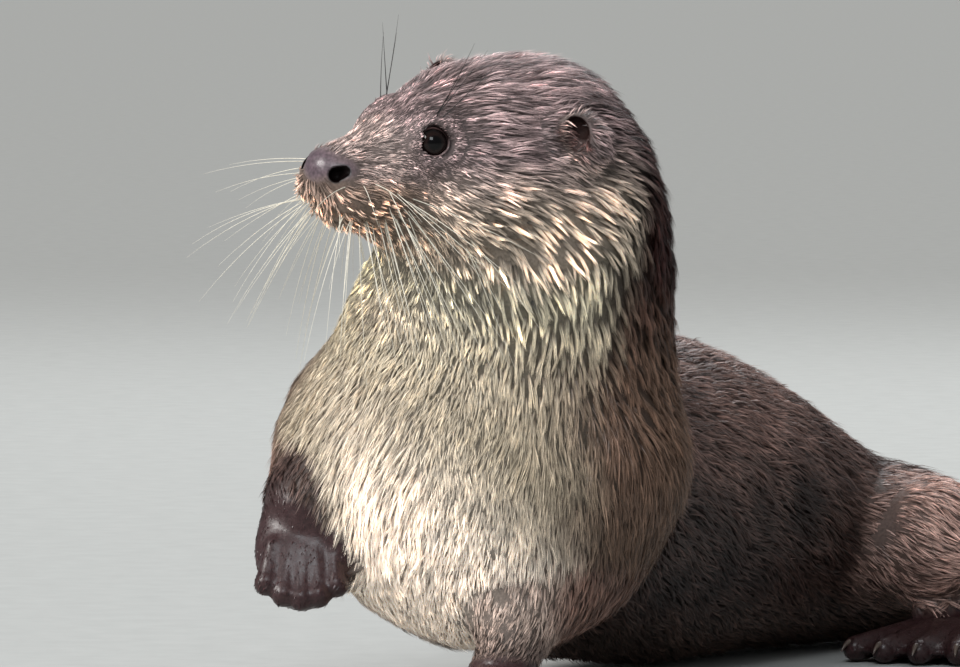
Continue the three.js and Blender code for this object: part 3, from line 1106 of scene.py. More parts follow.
@dataclass(frozen=True)
class Zones:
    """Soft shares of the parts of the body at points of the skin, each from 0 to 1."""

    skeleton: Skeleton

    def head(self, p: Array) -> Array:
        """One on the head, fading down the neck."""
        q = self.skeleton.head.local(p)
        return ramp(-np.linalg.norm((q - (22, 0, 0)) * (0.85, 1, 1), axis=1), -78, -46)

    def face(self, p: Array) -> Array:
        """One on the muzzle, fading out between the eyes."""
        q = self.skeleton.head.local(p)
        return ramp(q[:, 0], 44, 66) * self.head(p)

    def ears(self, p: Array) -> Array:
        """One on the ears."""
        return ramp(-self.skeleton.head.from_ears(p), -17, -10)

    def tail(self, p: Array) -> Array:
        """One on the tail, fading in from its root."""
        return ramp(p[:, 0] + 0.6 * (p[:, 1] - 330), 170, 225)

    def paws(self, p: Array) -> Array:
        """One on the feet, fading out above wrist and heel.

        Args:
            p: Layout points, (n, 3).

        Returns:
            The shares, (n,).
        """
        found = np.zeros(len(p))
        for paw in self.skeleton.paws().values():
            along = (p - paw.origin) @ paw.turn[:, 0]
            near = ramp(along, -16, 12) * ramp(-paw.form()(p), -5.5, -2.5)
            found = np.maximum(found, near)
        return found

    def legs(self, p: Array) -> Array:
        """One on the legs, fading into the trunk.

        Args:
            p: Layout points, (n, 3).

        Returns:
            The shares, (n,).
        """
        found = np.zeros(len(p))
        for upper, lower in self.skeleton.legs():
            found = np.maximum(found, ramp(-lower(p), -14, -4))
        return found

    def front(self, p: Array) -> Array:
        """One on neck and chest, fading out over the shoulders."""
        return ramp(-p[:, 1] - 0.5 * p[:, 0], -95, -45)

    def bib(self, p: Array) -> Array:
        """One on the sleek chest, fading out up the throat and round the sides."""
        return self.front(p) * ramp(-p[:, 2] - 0.35 * p[:, 0], -165, -105)

    def pads(self, p: Array) -> Array:
        """One on the whisker pads and lips."""
        q = self.skeleton.head.local(p)
        return self.face(p) * ramp(-q[:, 2] + 0.12 * (q[:, 0] - 70), -1, 4) * ramp(q[:, 0], 52, 60)

    def cheek(self, p: Array) -> Array:
        """One on the cheeks and jaw, where the hair stands in larger locks."""
        q = self.skeleton.head.local(p)
        return self.head(p) * ramp(-q[:, 2] - 0.1 * q[:, 0], -13, 4) * ramp(-q[:, 0], -52, -30)


@dataclass(frozen=True)
class Lie:
    """The way the hair lies: along the bones from the nose to the tail and the toes."""

    skeleton: Skeleton
    reach: float = 9.0

    def runs(self) -> list[tuple[Limb, Array]]:
        """Lengths of the body, each with the way its hair runs.

        Returns:
            Pairs of a length and a unit direction.
        """
        down = np.array([0.0, 0, -1])
        rows: list[tuple[Limb, Array]] = []
        for link in Sweep(self.skeleton.spine, 26).links():
            way = unit(np.array(link.end) - np.array(link.start))
            rows.append((link, unit(way + 0.35 * down)))
        for link in Sweep(self.skeleton.neck, 5).links():
            rows.append((link, unit(np.array(link.start) - np.array(link.end))))
        rows.append((Limb((2, 20, 95), 62, (0, 14, 50), 52), down))
        for leg in self.skeleton.legs():
            for link in leg:
                rows.append((link, unit(np.array(link.end) - np.array(link.start))))
        for paw in self.skeleton.paws().values():
            reach = 90 if paw.hind else 40
            end = paw.origin + reach * paw.turn[:, 0]
            rows.append((Limb(paw.origin, 15, end, 19), paw.turn[:, 0]))
        return rows

    def on_head(self, p: Array) -> Array:
        """Back from the nose, over the crown and down the cheeks.

        Args:
            p: Layout points, (n, 3).

        Returns:
            Directions, (n, 3), not yet of unit length.
        """
        head = self.skeleton.head
        q = head.local(p)
        side = np.sign(q[:, 1]) * ramp(np.abs(q[:, 1]), 0, 18)
        low = ramp(-q[:, 2], -14, 22)
        back = ramp(-q[:, 0], -60, 10)
        way = np.stack([
            -np.ones(len(q)) * (1 - 0.35 * low * back),
            side * (0.34 - 0.2 * back),
            -0.18 - 0.75 * low * (0.35 + 0.65 * back) - 0.25 * back,
        ], 1)
        bridge = ramp(q[:, 2], 8, 16) * ramp(q[:, 0], 40, 60)
        way[:, 2] += 0.3 * bridge
        under = ramp(-q[:, 2], 12, 26)[:, None]
        way = way * (1 - under) + under * np.array([-0.55, 0, -1.0])
        for sign in SIDES.values():
            centre = np.array(head.eye) * (1, sign, 1)
            from_eye = q - centre
            near = np.exp(-(np.linalg.norm(from_eye, axis=1) / 13) ** 2)
            way += 0.75 * near[:, None] * unit(from_eye) * (0.25, 1, 1)
            turn, at = head.ear_frame(sign)
            from_hole = q - head.local(at[None] + turn @ np.array([3, -0.6 * sign, 3]))
            near = np.exp(-(np.linalg.norm(from_hole, axis=1) / 14) ** 2)
            near *= ramp(-from_hole[:, 0], -3, 3) * ramp(from_hole[:, 2], -6, -1)
            way += 1.6 * near[:, None] * unit(from_hole)
        return way @ head.axes.T

    def __call__(self, p: Array, n: Array) -> Array:
        """Unit directions along the skin at points p with normals n.

        Args:
            p: Layout points, (n, 3).
            n: The skin's normals there.

        Returns:
            The directions, (n, 3).
        """
        total = np.zeros_like(p)
        for limb, way in self.runs():
            near = np.exp(-np.clip(limb(p), -14, 90) / self.reach)
            total += near[:, None] * way
        total = unit(total)
        x, y = p[:, 0] - 4, p[:, 1] - 14
        fan = Zones(self.skeleton).front(p) * ramp(-p[:, 2], -190, -150)
        total += (0.3 * fan)[:, None] * np.stack([x / 60, 0 * y, np.zeros(len(p))], 1)
        head = Zones(self.skeleton).head(p)
        total = mix(total, unit(self.on_head(p)), ramp(head, 0.1, 0.75))
        stir = np.stack([ripple(p, 34, 11), ripple(p, 31, 12), ripple(p, 37, 13)], 1)
        total += 0.16 * stir
        waves = np.stack([ripple(p, 9, 14), ripple(p, 8, 15), ripple(p, 10, 16)], 1)
        total += 0.10 * waves
        return unit(total - n * (total * n).sum(1, keepdims=True))


@dataclass(frozen=True)
class Markings:
    """The otter's colours, with painted light and shade in places, the same for skin and coat."""

    skeleton: Skeleton
    back: Triple = (142, 111, 101)
    flank: Triple = (46, 30, 26)
    shoulder: Triple = (106, 82, 66)
    nape: Triple = (52, 28, 25)
    crown: Triple = (152, 130, 128)
    cheek: Triple = (224, 203, 182)
    throat: Triple = (198, 189, 164)
    chest: Triple = (196, 180, 156)
    breast: Triple = (255, 240, 224)
    belly: Triple = (104, 80, 68)
    muzzle: Triple = (196, 164, 142)
    bridge: Triple = (204, 181, 172)
    leg: Triple = (146, 112, 98)
    thigh: Triple = (208, 169, 155)
    paw: Triple = (58, 36, 37)
    tail: Triple = (92, 66, 58)
    ear_cup: Triple = (78, 46, 40)
    ear_rim: Triple = (178, 156, 146)
    ear_shadow: Triple = (30, 19, 19)

    def pale(self, p: Array) -> Array:
        """How much a point lies on the pale bib, round the front of neck and chest.

        Args:
            p: Layout points, (n, 3).

        Returns:
            The shares, (n,).
        """
        x, y = p[:, 0] - 12, p[:, 1] - 20
        round_neck = (x * -0.64 + y * -0.77) / np.maximum(np.hypot(x, y), 1)
        high = ramp(p[:, 2], 125, 178)
        bib = ramp(round_neck + 0.10 * ripple(p, 40, 21) + 0.34 * high, 0.22, 0.74)
        bib *= np.maximum(ramp(-p[:, 1] + 0.12 * (p[:, 2] - 90), -34, -4), high)
        leg = np.maximum(*(ramp(-pair[1](p), -10, -2) for pair in self.skeleton.legs()[:2]))
        return bib * (1 - 0.75 * leg)

    def on_body(self, p: Array, lower: Array) -> Array:
        """Colours of the body, the legs and the bib, with painted shade low on the sides.

        Args:
            p: Layout points, (n, 3).
            lower: Their distances from the lower lengths of the legs.

        Returns:
            Linear colours, (n, 3).
        """
        zones = Zones(self.skeleton)
        spread = np.abs(ripple(p, 60, 22))
        # The dark flank colour is painted shade: it comes in low on the body, where shade falls, and
        # a little at random all over.
        side = np.clip(0.3 * spread + 0.8 * ramp(-p[:, 2], -105, -55), 0, 1)
        colour = mix(np.tile(linear(self.back), (len(p), 1)), linear(self.flank), side)
        colour = mix(colour, linear(self.belly), 0.45 * ramp(-p[:, 2], -40, -12))
        colour = mix(colour, linear(self.tail), zones.tail(p))
        leg = np.broadcast_to(linear(self.leg), colour.shape)
        # The hind legs turn to a paler tint: partly their own paler fur, partly painted light on legs
        # that the lamps leave in shade.
        leg = mix(leg, linear(self.thigh), ramp(p[:, 1], 120, 200))
        colour = mix(colour, leg, 0.8 * ramp(-lower + 4 * ripple(p, 20, 24), -24, 2))
        colour = mix(colour, linear(self.shoulder), 0.9 * zones.front(p) * (1 - zones.legs(p)))
        high = ramp(p[:, 2], 120, 175)
        colour = mix(colour, linear(self.nape), high * zones.front(p))
        bib = np.broadcast_to(linear(self.chest), colour.shape)
        # Painted light: the lower front of the chest is painted paler and brighter than the rest of
        # the bib.
        breast_lit_share = ramp(p[:, 0], -62, -38) * ramp(-p[:, 2] - 0.6 * p[:, 0], -110, -50)
        bib = mix(bib, linear(self.breast), breast_lit_share) * (1 + 0.3 * breast_lit_share)[:, None]
        bib = mix(bib, linear(self.throat), high)
        return mix(colour, bib, self.pale(p))

    def on_head(self, p: Array, q: Array, colour: Array) -> Array:
        """Colours of the head: crown, cheeks, nape, muzzle, and painted shade in the lines and
        creases round the eyes and the mouth.

        Args:
            p: Layout points, (n, 3).
            q: The same points in the head's frame.
            colour: The body's colours there.

        Returns:
            Linear colours, (n, 3).
        """
        head, zones = self.skeleton.head, Zones(self.skeleton)
        low = ramp(q[:, 2] + 0.1 * q[:, 0], -34, -18)
        face = mix(colour, linear(self.cheek), low * ramp(q[:, 0] - 0.3 * np.abs(q[:, 1]), -52, -24))
        top = ramp(q[:, 2] + 0.12 * q[:, 0] + 2 * ripple(p, 25, 23), -8, 18)
        face = mix(face, linear(self.crown), top)
        face = mix(face, linear(self.nape), ramp(-q[:, 0], 2, 42) * ramp(q[:, 2], -22, 8))
        front = np.broadcast_to(linear(self.muzzle), colour.shape)
        on_top = ramp(q[:, 2] - 0.1 * (q[:, 0] - 60), -1, 6)
        front = mix(front, linear(self.bridge), on_top)
        face = mix(face, front, 0.85 * zones.face(p) * (1 - on_top * ramp(-q[:, 0], -66, -54)))
        r = head.from_eye(q)
        away, high = np.linalg.norm(r, axis=1), ramp(r[:, 2] - 0.25 * r[:, 0], -2, 3)
        face = face * (1 + 0.35 * high * np.exp(-((away - 10.3) / 1.7) ** 2))[:, None]
        # Painted shade: a thin dark line in the crease above each eye, and darker fur along the
        # mouth, the groove under the nose and the folds under the eyes.
        line = np.maximum(0.7 * high * np.exp(-((away - 13.6) / 0.8) ** 2),
                          ramp(-head.creases()(q), -1.3, -0.5))
        return face * (1 - 0.6 * line)[:, None]

    def by_ears(self, p: Array, q: Array, colour: Array) -> Array:
        """Darkens the ears' cups, paints the ears' shadow on the hair behind them and paints light on
        their rims.

        Args:
            p: Layout points, (n, 3).
            q: The same points in the head's frame.
            colour: The head's colours there.

        Returns:
            Linear colours, (n, 3).
        """
        for side in SIDES.values():
            in_ear = self.skeleton.head.in_ear(p, side)
            cup = np.linalg.norm((in_ear - (5, 0, -0.5)) / (5.5, 8, 6.5), axis=1)
            colour = mix(colour, linear(self.ear_cup), 0.9 * ramp(-cup, -1.2, -0.8))
            # Painted light along the rim of each ear.
            rim = np.linalg.norm((in_ear - (0, 4 * side, 1)) / (8, 10.5, 9), axis=1)
            rim = np.exp(-((rim - 1.05) / 0.16) ** 2)
            colour = mix(colour, linear(self.ear_rim), 0.5 * rim)
            # Painted shadow of each ear on the hair behind it.
            behind = np.linalg.norm((q - (-9.5, 39 * side, 12)) / (5, 8, 7.5), axis=1)
            colour = mix(colour, linear(self.ear_shadow), 0.92 * ramp(-behind, -1.25, -0.75))
        return colour

    def __call__(self, p: Array) -> Array:
        """Colours of the whole animal.

        Args:
            p: Layout points, (n, 3).

        Returns:
            Linear colours, (n, 3).
        """
        q = self.skeleton.head.local(p)
        lower = np.min([link[1](p) for link in self.skeleton.legs()], axis=0)
        colour = self.on_body(p, lower)
        face = self.by_ears(p, q, self.on_head(p, q, colour))
        zones = Zones(self.skeleton)
        colour = mix(colour, face, ramp(zones.head(p), 0.05, 0.7))
        wrist = np.max([ramp(-np.linalg.norm(p - paw.origin, axis=1), -34, -14)
                        for paw in self.skeleton.paws().values()], axis=0)
        colour = mix(colour, linear(self.paw), 0.8 * wrist * ramp(-lower, -12, -2))
        return mix(colour, linear(self.paw), zones.paws(p))


# ------------------------------------------------------------------ finishes


class Graph:
    """A short way to build a material's nodes."""

    def __init__(self, name: str) -> None:
        """Starts a material with its Principled shader.

        Args:
            name: The material's name.
        """
        self.material = bpy.data.materials.new(name)
        self.material.use_nodes = True
        self.tree = self.material.node_tree
        self.shader = self.tree.nodes["Principled BSDF"]

    def node(self, kind: str, inputs: dict[str | int, object] | None = None,
             **facts: object) -> bpy.types.Node:
        """Adds a node, with sockets set or linked from inputs and properties from facts.

        Args:
            kind: Blender's name for it.
            inputs: Socket names or numbers, with sockets or values.
            facts: Its properties.

        Returns:
            The node.
        """
        made = self.tree.nodes.new(kind)
        for key, value in facts.items():
            setattr(made, key, value)
        for key, value in (inputs or {}).items():
            self.feed(made.inputs[key], value)
        return made

    def feed(self, socket: bpy.types.NodeSocket, value: object) -> None:
        """Links a socket to another, or sets its value.

        Args:
            socket: The input.
            value: A socket or a value.
        """
        if isinstance(value, bpy.types.NodeSocket):
            self.tree.links.new(value, socket)
        else:
            socket.default_value = value

    def set(self, **values: object) -> None:
        """Sets or links the shader's sockets; an underscore stands for a space."""
        for key, value in values.items():
            self.feed(self.shader.inputs[key.replace("_", " ")], value)

    def place(self) -> bpy.types.NodeSocket:
        """Object coordinates."""
        return self.node("ShaderNodeTexCoord").outputs["Object"]

    def noise(self, scale: float, detail: float = 3.0, rough: float = 0.55) -> bpy.types.NodeSocket:
        """A noise pattern in metres.

        Args:
            scale: Waves in a metre.
            detail: Octaves.
            rough: How strong the finer ones are.

        Returns:
            The pattern, about 0 to 1.
        """
        made = self.node("ShaderNodeTexNoise", {"Vector": self.place(), "Scale": scale,
                                               "Detail": detail, "Roughness": rough})
        return made.outputs["Fac"]

    def cells(self, scale: float) -> bpy.types.NodeSocket:
        """The smoothed distance to the nearest of many random points.

        Args:
            scale: Cells in a metre.

        Returns:
            The distance.
        """
        made = self.node("ShaderNodeTexVoronoi", {"Vector": self.place(), "Scale": scale},
                         feature="SMOOTH_F1")
        return made.outputs["Distance"]

    def spread(self, value: bpy.types.NodeSocket, low: float, high: float, to_low: float,
               to_high: float) -> bpy.types.NodeSocket:
        """A value's range carried to another range.

        Args:
            value: The value.
            low: Its low end.
            high: Its high end.
            to_low: Where the low end goes.
            to_high: Where the high end goes.

        Returns:
            The new value.
        """
        made = self.node("ShaderNodeMapRange", {"Value": value, "From Min": low, "From Max": high,
                                                "To Min": to_low, "To Max": to_high})
        return made.outputs["Result"]

    def tinted(self, colour: object, factor: bpy.types.NodeSocket) -> bpy.types.NodeSocket:
        """A colour times a grey factor."""
        made = self.node("ShaderNodeVectorMath", {0: colour, 1: factor}, operation="MULTIPLY")
        return made.outputs["Vector"]

    def bump(self, height: bpy.types.NodeSocket, distance: float, strength: float,
             below: bpy.types.NodeSocket | None = None) -> bpy.types.NodeSocket:
        """A bump of so many metres, on top of another bump if one is given.

        Args:
            height: The relief.
            distance: Its height, in metres.
            strength: Its share.
            below: The bump under it.

        Returns:
            The normal.
        """
        inputs: dict[str | int, object] = {"Height": height, "Distance": distance,
                                           "Strength": strength}
        if below is not None:
            inputs["Normal"] = below
        return self.node("ShaderNodeBump", inputs).outputs["Normal"]

    def attribute(self, name: str) -> bpy.types.NodeSocket:
        """A colour stored on the mesh."""
        return self.node("ShaderNodeAttribute", attribute_name=name).outputs["Color"]


class Finish(Enum):
    """The otter's surfaces."""

    COAT = "coat hair"
    WET_PAW = "paw hair"
    SKIN = "skin under coat"
    NOSE = "nose leather"
    LID = "lid rim"
    PAW = "wet paw"
    EYE = "eye"
    CLAW = "claw"
    WHISKER = "whisker"
    BROW = "brow whisker"


@dataclass(frozen=True)
class HairFinish:
    """Damp guard hair: the stored tint, broken up by fine noise, with a soft gloss."""

    roughness: float = 0.4

    def material(self, name: str) -> bpy.types.Material:
        """Builds the material.

        Args:
            name: The material's name.

        Returns:
            The material.
        """
        g = Graph(name)
        mottle = g.spread(g.noise(260, 2), 0.3, 0.7, 0.82, 1.16)
        g.set(Base_Color=g.tinted(g.attribute("tint"), mottle), Roughness=self.roughness)
        g.set(Specular_IOR_Level=0.38)
        return g.material


@dataclass(frozen=True)
class SkinFinish:
    """Underfur and skin: the stored tint, painted darker under the coat as shade, with a short
    streaky bump.
    """

    def material(self, name: str) -> bpy.types.Material:
        """Builds the material.

        Args:
            name: The material's name.

        Returns:
            The material.
        """
        g = Graph(name)
        fine = g.noise(900, 3)
        g.set(Base_Color=g.tinted(g.attribute("tint"), g.spread(fine, 0.3, 0.7, 0.7, 1.2)))
        dull = g.spread(g.attribute("tint"), 0.002, 0.03, 0.0, 0.4)
        g.set(Roughness=0.62, Normal=g.bump(fine, 0.0006, 0.6), Specular_IOR_Level=dull)
        return g.material


@dataclass(frozen=True)
class LeatherFinish:
    """Bare pebbled skin: small cells with darker seams, damp, its tint stored on the mesh."""

    grain: float = 1000.0
    roughness: float = 0.4
    relief: float = 0.0008

    def material(self, name: str) -> bpy.types.Material:
        """Builds the material.

        Args:
            name: The material's name.

        Returns:
            The material.
        """
        g = Graph(name)
        cells = g.cells(self.grain)
        soft = g.noise(420, 3)
        seam = g.spread(cells, 0.1, 0.75, 1.2, 0.6)
        tint = g.tinted(g.attribute("tint"), seam)
        g.set(Base_Color=g.tinted(tint, g.spread(soft, 0.3, 0.7, 0.8, 1.2)))
        pebbles = g.bump(cells, self.relief, -1.0)
        dull = g.spread(g.attribute("tint"), 0.002, 0.03, 0.0, 1.0)
        g.set(Roughness=g.spread(soft, 0.3, 0.7, self.roughness - 0.07, self.roughness + 0.12))
        g.set(Normal=g.bump(soft, 0.0008, 0.3, pebbles), Coat_Weight=g.spread(dull, 0, 1, 0, 0.18))
        g.set(Coat_Roughness=0.2, Specular_IOR_Level=g.spread(dull, 0, 1, 0.02, 0.5))
        return g.material


@dataclass(frozen=True)
class EyeFinish:
    """A wet dark-brown eye: stored tint under a clear coat."""

    def material(self, name: str) -> bpy.types.Material:
        """Builds the material.

        Args:
            name: The material's name.

        Returns:
            The material.
        """
        g = Graph(name)
        fibres = g.spread(g.noise(1800, 2), 0.35, 0.65, 0.8, 1.2)
        g.set(Base_Color=g.tinted(g.attribute("tint"), fibres), Roughness=0.3)
        g.set(Coat_Weight=0.45, Coat_Roughness=0.02, Specular_IOR_Level=0.0)
        return g.material


@dataclass(frozen=True)
class HornFinish:
    """Claws and whiskers: a stored tint with faint lengthwise streaks."""

    roughness: float = 0.35

    def material(self, name: str) -> bpy.types.Material:
        """Builds the material.

        Args:
            name: The material's name.

        Returns:
            The material.
        """
        g = Graph(name)
        streak = g.noise(700, 2)
        tint = g.tinted(g.attribute("tint"), g.spread(streak, 0.3, 0.7, 0.85, 1.15))
        g.set(Base_Color=tint, Roughness=self.roughness)
        g.set(Normal=g.bump(streak, 0.0001, 0.3))
        return g.material


class Finishes:
    """Each finish's material, made once."""

    def __init__(self) -> None:
        """Makes the materials."""
        recipes = {
            Finish.COAT: HairFinish(), Finish.WET_PAW: HairFinish(0.3),
            Finish.SKIN: SkinFinish(), Finish.NOSE: LeatherFinish(),
            Finish.LID: LeatherFinish(2600, 0.28), Finish.EYE: EyeFinish(),
            Finish.PAW: LeatherFinish(2200, 0.38, 0.0002),
            Finish.CLAW: HornFinish(0.3), Finish.WHISKER: HornFinish(0.38),
            Finish.BROW: HornFinish(0.42),
        }
        self.made = {key: recipe.material(key.value.replace(" ", "_"))
                     for key, recipe in recipes.items()}

    def __getitem__(self, key: Finish) -> bpy.types.Material:
        """A finish's material."""
        return self.made[key]


# ------------------------------------------------------------------ dressing the skin


@dataclass(frozen=True)
class SkinDress:
    """Stores the skin's tints, lays out its map and hands out its materials."""

    shop: Workshop
    finishes: Finishes
    nose: Triple = (88, 72, 80)
    # The nostril, crease and ear hole colours are painted shade: near black in the nostrils and the
    # ear holes, dark brown along the creases.
    nostril: Triple = (12, 7, 7)
    pocket: Triple = (150, 138, 140)
    crease: Triple = (40, 26, 24)
    ear_hole: Triple = (30, 17, 15)
    lid: Triple = (34, 24, 25)
    haw: Triple = (200, 168, 166)

    def tint(self, p: Array) -> Array:
        """Colours of the skin: the markings, painted darker as shade under the coat, and the bare
        parts' own.

        Args:
            p: Layout points, (n, 3).

        Returns:
            Linear colours, (n, 3).
        """
        head = self.shop.head
        colour = Markings(self.shop.skeleton)(p)
        # Painted shade: the skin is darkened where hair grows over it, so the gaps between locks look
        # dark.
        hidden = 1 - np.maximum(hairless(head, p), 0.85 * self.shop.zones.paws(p))
        colour = colour * (1 - 0.72 * hidden)[:, None]
        q = head.local(p)
        r = head.from_eye(q)
        away = np.linalg.norm(r, axis=1)
        pocket = ramp(-np.linalg.norm((r - (-6, 5, -9)) / (7, 5, 4), axis=1), -1.3, -0.8)
        ahead, up = r @ (0.85, -0.45, 0.0), r[:, 2]
        rear = ramp(-away, -7.4, -6.9) * ramp(-up - 0.8 * ahead, 1.0, 4.5)
        holes = [ramp(-head.ear_hole(side)(head.in_ear(p, side)), -1.2, -0.2)
                 for side in SIDES.values()]
        # Painted shade goes into the nostrils, the creases and the ear holes; nose, pocket, lid and
        # haw keep their own colours.
        for own, share in (
            (self.nose, ramp(-head.nose_pad()(q), -1.2, -0.2)),
            (self.nostril, ramp(-head.nostril()(q), -1.3, -0.5)),
            (self.pocket, 0.85 * pocket),
            (self.crease, 0.8 * ramp(-head.creases()(q), -1.2, -0.4)),
            (self.ear_hole, holes[0]), (self.ear_hole, holes[1]),
            (self.lid, ramp(-away, -8.4, -7.3)),
            (self.haw, 0.9 * rear),
        ):
            colour = mix(colour, linear(own), share)
        return colour

    def dress(self, skin: bpy.types.Object) -> None:
        """Gives the skin its map, tints and materials.

        Args:
            skin: The skin.
        """
        mesh = skin.data
        bpy.context.view_layer.objects.active = skin
        skin.select_set(True)
        mesh.uv_layers.new(name=MAP)
        bpy.ops.object.mode_set(mode="EDIT")
        bpy.ops.mesh.select_all(action="SELECT")
        bpy.ops.uv.smart_project(angle_limit=1.15, island_margin=0.002, scale_to_bounds=True)
        bpy.ops.object.mode_set(mode="OBJECT")
        p = self.shop.layout(points_of(mesh))
        put_colour(mesh, "tint", self.tint(p))
        for key in (Finish.SKIN, Finish.NOSE, Finish.LID, Finish.PAW):
            mesh.materials.append(self.finishes[key])
        at = self.shop.layout(middles_of(mesh))
        head = self.shop.head
        q = head.local(at)
        slot = np.where(head.nose_pad()(q) < 0.8, 1, 0)
        slot = np.where(np.linalg.norm(head.from_eye(q), axis=1) < 7.6, 2, slot)
        slot = np.where(self.shop.zones.paws(at) > 0.6, 3, slot)
        mesh.polygons.foreach_set("material_index", slot.astype(np.int32))
        mesh.update()
        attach(skin, BODY)
        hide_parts(*Skin(self.shop).flesh)


def hairless(head: Head, p: Array) -> Array:
    """One at layout points where no hair grows: on the nose and on the lids' rims.

    Args:
        head: The head.
        p: Layout points, (n, 3).

    Returns:
        The shares, (n,).
    """
    q = head.local(p)
    lids = ramp(-np.linalg.norm(head.from_eye(q), axis=1), -7.7, -7.2)
    return np.maximum(ramp(-head.nose_pad()(q), -1.0, -0.1), lids)


# ------------------------------------------------------------------ the coat


@dataclass(frozen=True)
class Growth:
    """How the hair grows in one part of the body, in mm and degrees."""

    spacing: float
    blades: float
    length: float
    width: float
    lift: float
    spread: float
    pinch: float
    # root and tip scale the tint at a blade's root and tip: the dark root is painted shade deep in
    # the coat, the bright tip a painted highlight.
    root: float
    tip: float


@dataclass(frozen=True)
class CoatStyle:
    """The growth of each part."""

    body: Growth = Growth(2.1, 5.5, 12.5, 0.34, 6, 0.62, 0.86, 0.34, 1.30)
    neck: Growth = Growth(3.2, 34, 11.5, 0.19, 9, 1.20, 0.97, 0.04, 1.74)
    bib: Growth = Growth(1.5, 5, 12.5, 0.21, 4, 0.40, 0.86, 0.62, 1.22)
    head: Growth = Growth(1.45, 4.6, 12.0, 0.18, 2.5, 0.34, 0.94, 0.03, 2.10)
    cheek: Growth = Growth(3.2, 30, 11.5, 0.17, 9, 1.12, 0.98, 0.02, 1.96)
    face: Growth = Growth(0.85, 4, 4.8, 0.13, 3, 0.20, 0.92, 0.22, 1.62)
    pads: Growth = Growth(1.9, 14, 3.4, 0.14, 24, 0.52, 0.94, 0.02, 2.40)
    ear: Growth = Growth(1.1, 5.5, 6.0, 0.16, 5, 0.28, 0.92, 0.04, 1.80)
    tail: Growth = Growth(2.2, 4.2, 10.0, 0.46, 6, 0.62, 0.80, 0.30, 1.25)
    leg: Growth = Growth(1.7, 4.8, 8.5, 0.30, 6, 0.50, 0.84, 0.34, 1.30)
    paw: Growth = Growth(2.3, 4.0, 2.6, 0.24, 0.0, 0.45, 0.70, 0.80, 1.10)


@dataclass
class Locks:
    """Locks of hair as arrays, one row each: root, normal, way, map place, part and measures."""

    root: Array
    normal: Array
    way: Array
    uv: Array
    part: Array
    growth: Array
    tint: Array

    def take(self, rows: Array) -> "Locks":
        """Some of the locks."""
        return Locks(*(getattr(self, column.name)[rows] for column in fields(self)))


